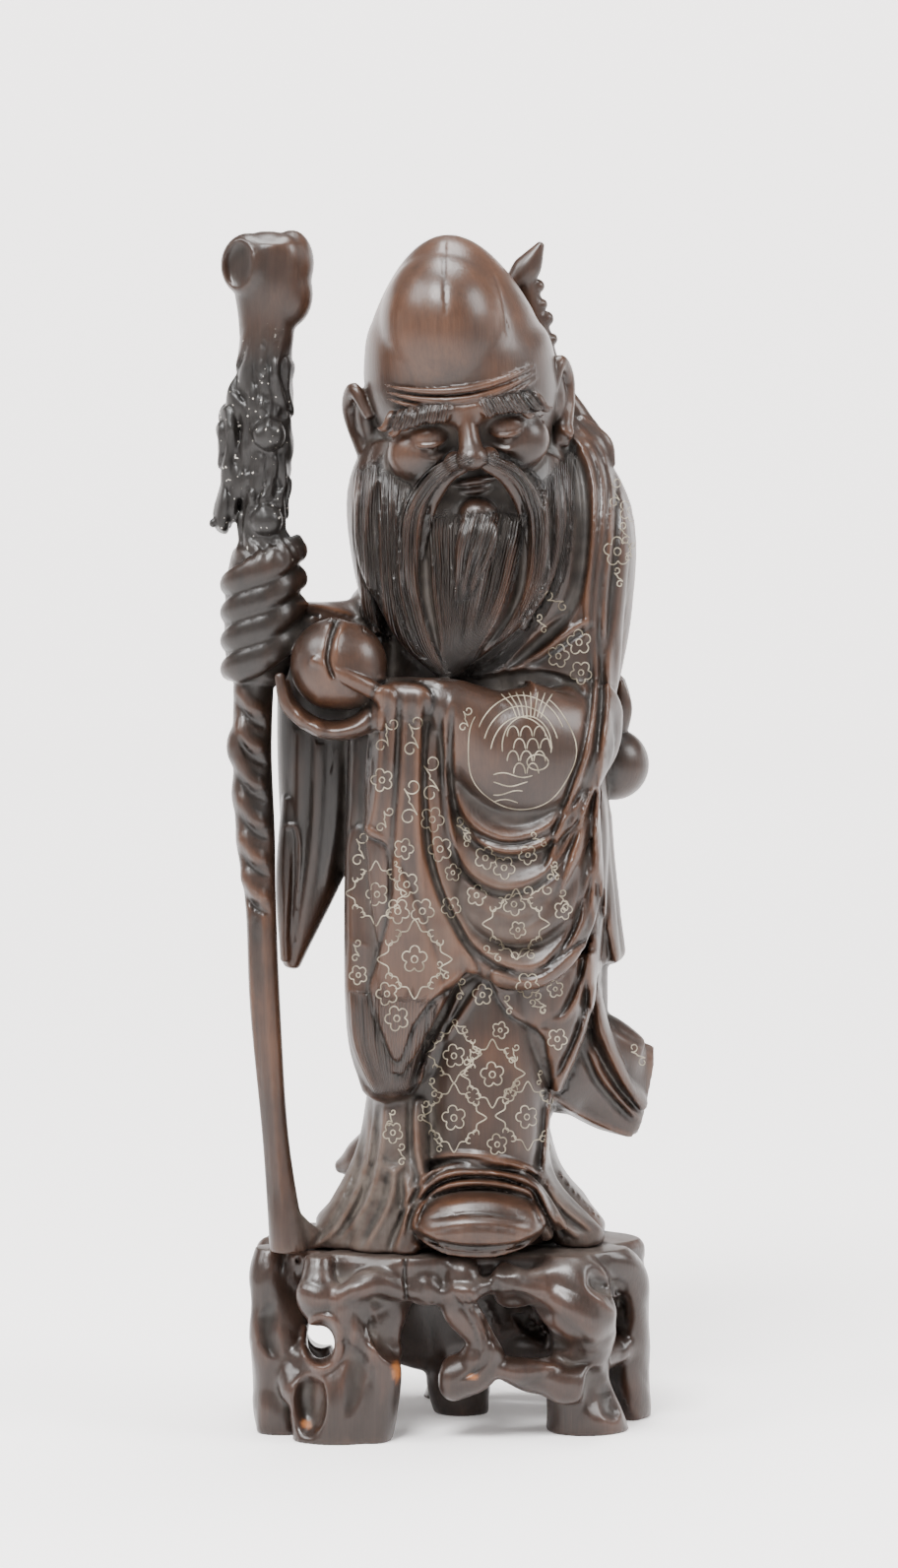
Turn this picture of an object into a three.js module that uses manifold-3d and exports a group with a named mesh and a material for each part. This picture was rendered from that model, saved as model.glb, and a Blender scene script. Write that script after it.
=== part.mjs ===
// Carved hardwood figure of a bald, bearded elder with a staff and a peach, on a rootwork base.
// Millimetres, +Z up, front faces -Y. The figure's forms are given in parts, where one part is a
// hundredth of the figure's height; the base has its own width, depth, height and thicknesses.
import * as THREE from 'three';
import { mergeVertices } from 'three/addons/utils/BufferGeometryUtils.js';
import Module from 'manifold-3d';

const wasm = await Module();
wasm.setup();

// Driving sizes
const FIGURE_HEIGHT = 403;   // underside of the hem to the top of the staff
const BASE_WIDTH = 154;      // across the rootwork, left to right
const BASE_DEPTH = 104;      // front to back
const BASE_HEIGHT = 73;      // floor to the deck that the figure stands on
const DECK_THICKNESS = 15;   // solid top of the rootwork
const ROOT_RADIUS = 9;       // half the thickness of an ordinary root
const SEAM_GAP = 0.3;        // between the figure's underside and the deck
const BASE_SHIFT = 5.5;      // middle of the base, right of the origin

const PART = FIGURE_HEIGHT / 100;
const FRONT = [0, -1, 0];
const UP = [0, 0, 1];

// A closed solid from rings of points, each ring as long as the next, with a fan at both ends.
function loft(rings) {
  const count = rings[0].length;
  const mean = (ring) => ring.reduce((sum, p) => sum.add(p), new THREE.Vector3()).divideScalar(count);
  const points = [...rings.flat(), mean(rings[0]), mean(rings.at(-1))];
  const faces = [];
  rings.slice(1).forEach((_, row) => {
    for (let k = 0; k < count; k += 1) {
      const [a, b] = [row * count + k, row * count + (k + 1) % count];
      faces.push(a, b, b + count, a, b + count, a + count);
    }
  });
  const last = (rings.length - 1) * count;
  for (let k = 0; k < count; k += 1) {
    const next = (k + 1) % count;
    faces.push(points.length - 2, next, k, points.length - 1, last + k, last + next);
  }
  const geometry = new THREE.BufferGeometry().setFromPoints(points);
  geometry.setIndex(faces);
  return geometry;
}

// A closed mesh as a solid that can be joined and cut, turned right side out.
function solid(geometry) {
  const bare = geometry.clone();
  bare.deleteAttribute('normal');
  bare.deleteAttribute('uv');
  const merged = mergeVertices(bare, 1e-4);
  const place = merged.attributes.position;
  const index = merged.index.array;
  const [a, b, c] = [0, 1, 2].map(() => new THREE.Vector3());
  let volume = 0;
  for (let t = 0; t < index.length; t += 3) {
    a.fromBufferAttribute(place, index[t]);
    b.fromBufferAttribute(place, index[t + 1]);
    c.fromBufferAttribute(place, index[t + 2]);
    volume += a.dot(b.cross(c));
  }
  const triVerts = new Uint32Array(index);
  if (volume < 0) triVerts.reverse();
  return new wasm.Manifold(new wasm.Mesh({
    numProp: 3, vertProperties: new Float32Array(place.array), triVerts,
  }));
}

const join = (solids) => solids.reduce((whole, piece) => whole.add(piece));

// Oval sections carried along a smooth line. A station is [x, y, z, a, b]: the middle, the half
// width across the line and the half depth along `face`. `square` below 1 squares the oval off,
// `pleats` folds its edge that many times, deeper towards the end, and `dome` rounds both ends.
function sweepGeometry(stations, {
  sides = 5, face = FRONT, square = 1, pleats = 0, depth = 0, dome = false,
} = {}) {
  const line = new THREE.CatmullRomCurve3(
    stations.map(([x, y, z]) => new THREE.Vector3(x, y, z)), false, 'catmullrom', 0.5);
  const sizes = new THREE.CatmullRomCurve3(
    stations.map(([, , , a, b]) => new THREE.Vector3(a, b, 0)), false, 'catmullrom', 0.5);
  const ring = (t, shrink = 1, ahead = 0) => {
    const tangent = line.getTangent(t);
    const normal = new THREE.Vector3(...face);
    normal.addScaledVector(tangent, -normal.dot(tangent)).normalize();
    const side = new THREE.Vector3().crossVectors(tangent, normal);
    const size = sizes.getPoint(t);
    const middle = line.getPoint(t).addScaledVector(tangent, ahead * Math.min(size.x, size.y));
    const bend = (value) => Math.sign(value) * Math.abs(value) ** square;
    return Array.from({ length: sides }, (_, k) => {
      const angle = (2 * Math.PI * k) / sides;
      const swell = shrink * (1 + depth * (0.3 + 0.7 * t) * Math.cos(pleats * angle));
      return middle.clone().addScaledVector(side, bend(Math.sin(angle)) * size.x * swell)
        .addScaledVector(normal, bend(Math.cos(angle)) * size.y * swell);
    });
  };
  const spans = stations.length - 1;
  const along = Array.from({ length: spans + 1 }, (_, i) => ring(i / spans));
  return loft(dome ? [ring(0, 0.65, -0.45), ...along, ring(1, 0.65, 0.45)] : along);
}

const sweep = (stations, options) => solid(sweepGeometry(stations, options));

// A ball drawn out to three half sizes.
function blobGeometry([x, y, z], [a, b, c], detail = 8) {
  const ball = new THREE.SphereGeometry(1, detail, Math.max(4, detail / 2));
  return ball.rotateX(Math.PI / 2).scale(a, b, c).translate(x, y, z);
}

const blob = (middle, half, detail) => solid(blobGeometry(middle, half, detail));

// Robe: the trunk that everything else grows out of, hunched at the shoulders.
const TRUNK = [
  [2.2, 1, 0, 10.4, 9.8], [2.2, 1, 9, 8.4, 8], [3.2, 1, 18, 10.2, 8.6], [4.2, 1.4, 28, 12.2, 9.4],
  [4.3, 1.8, 42, 12.2, 9.5], [4.8, 2.4, 54, 12.4, 10], [6, 3.2, 64, 13.2, 10.8],
  [6.6, 3.4, 71, 12.8, 10.6], [6, 2.4, 77, 10, 8.6], [4.6, 0.2, 81.4, 6, 6.4],
];

// Front or back of an upright form at a place seen from the front, for what lies on it.
function skin(stations, x, z, side = -1) {
  const upright = [...stations].sort((one, other) => one[2] - other[2]);
  const above = Math.max(1, upright.findIndex((station) => station[2] >= z));
  const [low, high] = [upright[above - 1], upright[above]];
  const share = (z - low[2]) / (high[2] - low[2]);
  const [xc, yc, , a, b] = low.map((value, i) => value + share * (high[i] - value));
  return yc + side * b * Math.sqrt(Math.max(0.05, 1 - ((x - xc) / a) ** 2));
}

// A fold or lock laid on a form through places [x, z], with the half width r in its middle.
function fold(stations, places, r, proud = 0.3) {
  return sweep(places.map(([x, z], i) => {
    const swell = r * (0.45 + 0.55 * Math.sin((Math.PI * i) / (places.length - 1)));
    return [x, skin(stations, x, z) - proud * r, z, swell, swell];
  }), { sides: 4 });
}

// A hanging fold from a left hold to a right hold, lowest between them, bowed to the front there.
function swag([xl, zl], [xm, zm], [xr, zr], front, r) {
  const hang = 8;
  const stations = Array.from({ length: hang + 1 }, (_, i) => {
    const turn = Math.PI * (i / hang - 0.5);
    const [x, z] = turn < 0 ? [xl, zl] : [xr, zr];
    const rise = 1 - Math.cos(turn);
    return [xm + (x - xm) * Math.abs(Math.sin(turn)), front + 3 * rise, zm + (z - zm) * rise,
      r * (1 - 0.5 * rise), r * 1.5];
  });
  return sweep(stations, { sides: 4 });
}

function robe() {
  const forms = [
    // Pleated trunk: its folds show down the back
    sweep(TRUNK, { sides: 18, pleats: 9, depth: 0.08 }),
    // Inner skirt that bulges over the feet
    sweep([[4.9, -1.6, 27, 6.2, 6.6], [5, -2, 17, 6.4, 7.3], [4.9, -2.2, 8.4, 6.2, 7.6]],
      { sides: 14 }),
    // Apron with a rounded end
    sweep([[-4.6, -6, 50, 3.9, 2.6], [-5, -6.6, 34, 3.9, 2.4], [-4.9, -6.8, 22, 3.8, 2.2],
      [-4.4, -6.8, 16.6, 3, 2]], { sides: 8, dome: true }),
    // Cloth that falls from the forearm in front of the trunk
    sweep([[8, -5.2, 51, 6.6, 6.2], [8, -4.8, 43, 7.8, 6.6], [8.6, -4, 34, 7.4, 6.2],
      [8.8, -3.4, 28.6, 4.4, 4.8]], { sides: 12 }),
    // Corner of the under robe below it
    sweep([[10.3, -3, 28, 5.8, 5], [11, -3.6, 21, 3.8, 4], [12, -4, 15.4, 0.4, 0.8]], { sides: 8 }),
    // Long folds at the right, between the front and the back
    sweep([[15, -1.6, 51, 1.2, 3], [15.6, -2, 40, 1.4, 3.4], [15.2, -2, 27, 1.1, 2.4]]),
    sweep([[14.9, 3, 50, 2, 4.4], [15.5, 3, 38, 2.1, 4.4], [16.8, 3.2, 28, 2, 3.2]],
      { sides: 8, dome: true }),
    sweep([[13.4, 3.4, 32, 3.6, 5], [14, 3.4, 20, 3, 4.4]], { sides: 8 }),
    // Tail of the robe swung out to the right, open below
    sweep([[10.6, 2.4, 18, 5.6, 4.6], [15, 3.2, 16.8, 5.4, 3.2], [18.4, 4.2, 14.6, 5, 1.8],
      [20.9, 5.2, 14, 4.5, 0.7]], { sides: 8, square: 0.75 }),
    sweep([[15.2, 0.8, 25, 0.9, 2.6], [16.4, 0.6, 20, 1, 2.2], [18.6, 2.4, 15.6, 0.9, 1.4],
      [20.6, 4.4, 12.6, 0.5, 0.7]]),
  ];
  // Nested hanging folds of the wide sleeve, each lower and wider than the last
  const swags = 4;
  for (let i = 0; i < swags; i += 1) {
    const share = i / (swags - 1);
    forms.push(swag([1.4 - 2.6 * share, 53 - 10.7 * share], [7.6 + 0.8 * share, 40.6 - 12.6 * share],
      [14.8 + 0.6 * share, 48.6 - 8 * share], -11.8 + 1.7 * share, 1.3 + 0.4 * share));
  }
  forms.push(...sleeveEnd(), ...hem(), ...collar());
  return forms;
}

// Sleeve end hanging from the left wrist in long pleats, down to two points.
function sleeveEnd() {
  return [
    sweep([[-2.2, -9.8, 56, 3.6, 2.4], [-2.4, -9.8, 47, 4.4, 2.6], [-1.9, -9.4, 37, 4.5, 2.3],
      [-1.2, -9, 29.6, 4.2, 2], [-2.8, -8.8, 22.6, 2.3, 1.5], [-3.6, -8.7, 18, 0.4, 0.7]],
    { sides: 14, pleats: 7, depth: 0.16 }),
    sweep([[-0.8, -7.4, 43, 2.6, 3], [0.2, -7.6, 36, 3, 3], [2.2, -8, 31.2, 2.5, 2.4],
      [4.2, -8.6, 27.6, 0.5, 0.8]]),
  ];
}

// Spreading hem: falls of cloth to the left and right of the feet, and arches over the shoe.
function hem() {
  const falls = [
    [[-3.4, -3.2, 17, 2.4, 3.6], [-4.2, -5.4, 8, 2.5, 3.2], [-5.2, -7.2, 0, 3.4, 2.8]],
    [[-4.6, 0, 16, 1.9, 4], [-6, -1.8, 8, 2.1, 4], [-9.2, -4.4, 0, 3.2, 3.4]],
    [[-3.4, 3.6, 10, 2.6, 3.4], [-8.8, 4.6, 6.6, 1.9, 2.4]],
    [[-5, 3.4, 5, 2.6, 4], [-9.6, 2.4, 0, 2.8, 3.6]],
    [[9.2, -1, 11, 1.6, 4.4], [10.6, -3, 5.4, 1.7, 3.6], [14.6, -4.2, 0, 2.4, 2.6]],
    [[8.6, 3, 11, 2.4, 5], [10.6, 2.8, 5.6, 2.3, 4.4], [15.4, 2.4, 0, 1.9, 3.2]],
    [[-1.6, -5, 14, 1.2, 2], [-2, -7.4, 6, 1.3, 2], [-2.8, -9.2, 0, 1.3, 1.6]],
  ];
  const arches = Array.from({ length: 2 }, (_, i) => {
    const [rise, reach] = [7 + 1.5 * i, 6.8 + 1.2 * i];
    return [[4.2 - reach, -7.2, 1.4 + i, 0.7, 1], [4.2 - reach * 0.6, -8.8, rise * 0.82, 0.7, 1.1],
      [4.2, -9.4 + 0.4 * i, rise, 0.7, 1.1], [4.2 + reach * 0.6, -8.8, rise * 0.82, 0.7, 1.1],
      [4.2 + reach, -7.2, 1.4 + i, 0.7, 1]];
  });
  // Shoe, toe to the front
  const shoe = sweep([[4.2, -5, 3.1, 6.6, 3.5], [4.2, -10, 3.1, 6.6, 3.3], [4.2, -12.8, 2.4, 5.6, 2.4],
    [4.2, -14.2, 1.8, 3.6, 1.2]], { sides: 12, face: UP });
  return [
    ...falls.map((stations) => sweep(stations)),
    ...arches.map((stations) => sweep(stations, { sides: 4 })), shoe,
  ];
}

// Shawl collar: bands from the right shoulder to the crossing at the waist, the shoulder itself,
// and a roll round the neck at the back.
function collar() {
  const bands = Array.from({ length: 3 }, (_, i) => {
    const x = 15 - 1.7 * i;
    return fold(TRUNK, [[x - 0.6, 78.4], [x - 0.8, 70], [x - 3.2, 62.4], [x - 8.6, 57.4 + 0.8 * i]],
      1.1, 0.5);
  });
  return [
    sweep([[12.6, 1.6, 76.4, 4, 5], [15.2, 1.4, 70, 4.3, 6.4], [14.8, 1, 62, 4.2, 6.2],
      [14.4, -0.6, 53, 3.2, 5.2]], { sides: 8 }),
    ...bands,
    sweep([[-5, 1, 78.4, 1.2, 1.6], [-0.6, 7.4, 79.6, 1.4, 2], [5, 8.8, 79.6, 1.6, 2],
      [11.6, 5.6, 78.8, 1.4, 1.8], [13.6, 1, 78.4, 1, 1.4]], { face: UP }),
  ];
}

// Head, in its own frame with the middle of the skull at the origin, then bowed and tilted.
const HEAD = { middle: [1.8, -4.2, 88], bow: 10, tilt: 7, turn: 4 };

// Heights down the face by the rule of equal thirds: brow, nose and chin, the eyes a third of the
// way from brow to nose, and the eyes one eye's width apart.
const FACE_THIRD = 4.9;
const BROW = -4.6;
const NOSE = BROW - FACE_THIRD;
const CHIN = NOSE - FACE_THIRD;
const EYE = BROW - FACE_THIRD / 3;
const MOUTH = NOSE - FACE_THIRD / 3;
const EYE_WIDTH = 3.7;

function headPose(geometry) {
  const degrees = (...angles) => new THREE.Euler(...angles.map(THREE.MathUtils.degToRad));
  const pose = new THREE.Matrix4().makeRotationFromEuler(degrees(HEAD.bow, -HEAD.tilt, HEAD.turn));
  return solid(geometry.applyMatrix4(pose.setPosition(...HEAD.middle)));
}

function head() {
  const ball = (middle, half, detail) => headPose(blobGeometry(middle, half, detail));
  const rod = (stations, options) => headPose(sweepGeometry(stations, options));
  const forms = [
    // High bald dome, narrower above, down to the cheeks and the jaw
    rod([[0.5, -0.8, 8.6, 5, 5], [0.2, -0.2, 5.2, 7.7, 7.8], [-0.1, 0.2, 0.8, 9.4, 9.4],
      [0.5, 0.2, -6, 9.3, 9], [0.5, -0.8, CHIN + 2.6, 7, 6.8], [0.4, -2, CHIN, 4, 4.6]],
    { sides: 14, dome: true }),
    rod([[0, -8.2, BROW + 0.4, 0.9, 1.2], [0, -9.8, NOSE + 1.8, 1.4, 1.5], [0, -9.7, NOSE + 0.4, 2.2, 1.5]]),
    rod([[-2.2, -6.6, MOUTH - 0.7, 0.5, 0.8], [0, -7.6, MOUTH - 0.9, 0.8, 1],
      [2.2, -6.6, MOUTH - 0.7, 0.5, 0.8]]),
  ];
  [-1, 1].forEach((side) => {
    forms.push(
      ball([side * EYE_WIDTH, -7.3, EYE], [1.9, 1.6, 1.4], 6),
      ball([side * 5, -6.2, NOSE + 0.6], [3.2, 2.8, 2.8], 6),
      rod([[side * 1.4, -8.7, BROW, 0.6, 0.8], [side * 4, -8.6, BROW + 0.9, 0.9, 1],
        [side * 6.6, -6.4, BROW - 0.2, 0.5, 0.7]], { sides: 4 }),
      ...ear(side).map((geometry) => headPose(geometry)),
    );
  });
  return forms;
}

// Long ear: a rim that runs over the top and down the back into a heavy lobe.
function ear(side) {
  return [
    blobGeometry([side * 9.2, 0.4, -5.6], [1.2, 1.7, 3], 6),
    sweepGeometry([[side * 8.9, -1.6, -5, 0.6, 0.6], [side * 10.1, -0.2, -2.6, 0.8, 0.7],
      [side * 10.6, 1.4, -5, 0.8, 0.8], [side * 9.8, 0, -8.4, 0.9, 0.9], [side * 9.1, -1, -10.2, 0.9, 0.9]],
    { sides: 4, face: [side, 0, 0] }),
  ];
}

// Beard: a broad pleated mass that falls from the cheeks to one point over the forearm, with locks
// laid on it, the two ends of the moustache, the tuft of the chin and the hair at the left.
const BEARD = [
  [3, -5, 78, 9.4, 4], [2.5, -6.4, 72, 10.3, 4.2], [1.9, -7.6, 65.6, 9, 3.8], [1.3, -8.6, 60.4, 5.4, 3.2],
  [1.3, -9.2, 56.6, 1, 1.6],
];

function beard() {
  const locks = Array.from({ length: 5 }, (_, i) => {
    const lean = (i - 2) / 2;
    return fold(BEARD, [[3.2 + 7.6 * lean, 77], [2.6 + 8.6 * lean, 70], [2 + 6.6 * lean, 64],
      [1.5 + 2.4 * lean, 58.6]], 1.1);
  });
  const moustache = [-1, 1].map((side) => {
    const x = 4 + 0.4 * side;
    return sweep([[x + side * 0.6, -13, 76.6, 0.7, 0.9], [x + side * 3.6, -12.4, 74.4, 0.9, 1],
      [x + side * 5.4, -11.2, 69, 0.9, 1], [x + side * 4.6, -11, 62.6, 0.4, 0.5]], { sides: 4 });
  });
  return [
    sweep(BEARD, { sides: 18, pleats: 9, depth: 0.09 }), ...locks, ...moustache,
    sweep([[4.2, -11.4, 72.6, 1.5, 1.4], [3.9, -12, 69.6, 1.6, 1.4], [3, -11.8, 65.4, 0.5, 0.7]]),
    sweep([[-5, -2.2, 79.4, 1.6, 2.6], [-7, -3.4, 74, 1.6, 2.8], [-6.6, -4.2, 67, 1.4, 2.6],
      [-5.6, -4.8, 60.6, 0.7, 1.6]]),
  ];
}

// Left arm across the front, its hand cupped under the peach, and the right sleeve with its panel.
function arms() {
  return [
    sweep([[14.8, -3.4, 52.4, 3.6, 4.2], [12.4, -7, 50.2, 5.8, 4.6], [8.4, -9, 49.4, 6.9, 4.8],
      [4.6, -9.8, 51, 5.1, 4.2], [0.8, -11, 54, 2.6, 2.6], [-4.6, -11.4, 54.6, 1.6, 1.7]], { sides: 14 }),
    // Palm and long fingers turned up at their ends, and the thumb
    sweep([[-4.2, -11, 54.2, 1.6, 1.6], [-7.6, -10.8, 51.8, 1.2, 2.8], [-11, -10.8, 51.6, 1, 2.8],
      [-13.8, -10.6, 53.6, 0.8, 2.2], [-14.8, -10.6, 56.2, 0.5, 1.3]], { sides: 8 }),
    sweep([[-4.4, -12.6, 54.6, 0.9, 0.9], [-8, -14, 56.6, 0.8, 0.8], [-11.6, -13.9, 58.6, 0.6, 0.6]]),
    // Peach with a cleft between its two halves
    blob([-9.9, -10.4, 57.8], [4.1, 4.1, 4.4], 8), blob([-8.7, -10.2, 57.6], [4.1, 4, 4.3], 8),
    // Right sleeve: the arm out to the fist, and the long panel that hangs from it
    sweep([[-3, 0.4, 60.8, 3.4, 4.4], [-9, -1.6, 60.6, 2.8, 3.4], [-13.4, -4.4, 61, 2.6, 3],
      [-15.8, -6.4, 62, 3, 2.6]], { sides: 8 }),
    sweep([[-10.6, -0.8, 61, 4.8, 3.2], [-11, -0.9, 50, 4.6, 3.4], [-11.5, -0.8, 40, 3.8, 3],
      [-14.2, -1, 27, 0.8, 1.2]], { sides: 8, square: 0.8 }),
    sweep([[-14.4, -2.4, 44, 0.7, 1.2], [-14.9, -2.4, 36, 0.8, 1.3], [-14.8, -2, 28, 0.4, 0.8]]),
    sweep([[-5.4, 1, 63, 3, 6.4], [-6.6, 1.4, 50, 3.4, 6.4], [-7, 1, 37, 2.4, 5]], { sides: 8 }),
  ];
}

// Staff: a gnarled stem from a burl with a hollow cut face down to the deck, gripped by four fingers.
const STAFF = [
  [-16, -6, 98, 3.4, 3.2], [-16, -6, 94.6, 3.6, 3.4], [-16.3, -6.2, 90, 2.7, 2.6], [-16.5, -6.4, 84, 2.7, 2.6],
  [-16.5, -6.8, 76, 2.5, 2.4], [-16.9, -7, 69, 2.2, 2.1], [-17.4, -7.2, 60, 2, 2], [-17.8, -7.4, 50, 1.9, 1.9],
  [-17.5, -7.5, 41, 1.9, 1.8], [-17, -7.6, 34, 1.5, 1.6], [-16.6, -7.8, 24, 1.5, 1.5],
  [-15.6, -8.1, 11, 1.3, 1.4], [-14.4, -8.4, 0, 1.8, 1.8],
];

function staff() {
  const knots = Array.from({ length: 3 }, (_, i) => blob(
    [-19.2 + 0.5 * i, -8 + 0.5 * i, 49.6 - 4.6 * i], [1.1, 1.5, 2], 6));
  const fingers = Array.from({ length: 4 }, (_, i) => {
    const z = 66.8 - 2.8 * i;
    return sweep([[-13.8, -7, z + 0.6, 1.3, 1.4], [-16.4, -10.6, z - 0.2, 1.4, 1.4],
      [-19.8, -8.8, z - 1.8, 1.3, 1.2], [-19.4, -5.4, z - 2.4, 0.9, 0.9]], { sides: 4 });
  });
  const forms = [
    sweep(STAFF, { sides: 6, dome: true }),
    // Burl: the stub that the cut face is on, and a swelling at the right
    blob([-18, -7.2, 96.2], [2.7, 2.6, 3.1], 8), blob([-13.9, -5.6, 96.4], [2.2, 2.4, 3.2], 6),
    // Flap of bark and the lobe below it, with two knots
    sweep([[-17.6, -6, 86.6, 1, 1.6], [-19.6, -6.2, 81, 1.4, 1.8], [-19.6, -6.4, 75, 1.2, 1.6],
      [-20.8, -6.6, 71, 1, 1.3]]),
    blob([-16, -8.8, 79.4], [1.5, 1.3, 1.4], 6), blob([-16.2, -9, 72], [1.3, 1, 1.3], 6),
    // Root-like spread at the foot
    sweep([[-14.8, -8, 4, 1, 1.2], [-13, -6.6, 1.4, 1.3, 1.6], [-11.2, -5, 0, 1.2, 1.4]]),
    sweep([[-16.6, -6.8, 68.8, 2.8, 2.6], [-17, -7, 63, 3.6, 3.2], [-17.4, -7.2, 56.6, 3, 2.7]]),
    ...knots, ...fingers,
  ];
  const hollow = sweep([[-22, -12.4, 96.2, 2, 2.4], [-18, -8.2, 96.2, 1.4, 1.8]], { sides: 8, face: UP });
  return { forms, hollow };
}

// Branch over the right shoulder: a leaf behind the head, a knotted stem, and a fruit at the hip.
function branch() {
  return [
    sweep([[7.4, 3, 94.2, 0.8, 1.4], [9, 2.6, 95.8, 1.4, 1.2], [10.4, 2.4, 98.2, 0.4, 0.5]]),
    sweep([[8.8, 3, 95, 1.1, 1.2], [10.2, 3, 90.6, 0.9, 1], [11.8, 2.8, 85, 1, 1.2], [14, 2.6, 81, 1.4, 1.3],
      [15.8, 3.4, 77.6, 1.4, 1.5], [15.4, 8.6, 70, 1.2, 1.3], [15.4, 9.6, 60, 1.1, 1.2],
      [17.4, 5.6, 52, 1.2, 1.3]]),
    sweep([[14, 1.4, 80.4, 1.2, 0.8], [16.4, 1, 78.6, 1.1, 0.7], [17.4, 1.2, 76.6, 0.4, 0.5]]),
    sweep([[18.2, 4.4, 55, 0.8, 1.2], [18.6, 4.4, 52.4, 1.1, 1.4], [18, 4.8, 49.2, 0.9, 1.2]]),
    blob([17.7, 4.8, 46.7], [3.6, 3.5, 3.6], 10),
    // A second fruit and a leaf against the back
    blob([12.4, 11.2, 56.4], [2.8, 2.6, 3], 8),
    sweep([[15.2, 10, 66, 0.9, 0.9], [12.2, 12.6, 62.6, 1.8, 0.8], [9.4, 12.8, 58, 0.4, 0.5]]),
  ];
}

// Base limb: shares of the base's width, depth and height, and thickness in root radii.
function limb(stations, options) {
  return sweep(stations.map(([u, v, w, a, b]) => [
    u * BASE_WIDTH, v * BASE_DEPTH, w * BASE_HEIGHT, a * ROOT_RADIUS, b * ROOT_RADIUS]),
  { sides: 6, ...options });
}

// Deck: a slab with a lobed edge, flat above, rounded below.
function deck() {
  const corners = 30;
  const ring = (z, shrink) => Array.from({ length: corners }, (_, k) => {
    const angle = (2 * Math.PI * k) / corners;
    const reach = (shrink / 2) * (0.94 + 0.04 * Math.cos(3 * angle + 0.6) + 0.03 * Math.cos(7 * angle));
    return new THREE.Vector3(BASE_WIDTH * reach * Math.cos(angle), BASE_DEPTH * reach * Math.sin(angle), z);
  });
  const under = BASE_HEIGHT - DECK_THICKNESS;
  return solid(loft([ring(under, 0.84), ring(under + DECK_THICKNESS * 0.4, 1), ring(BASE_HEIGHT, 0.95)]));
}

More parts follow.
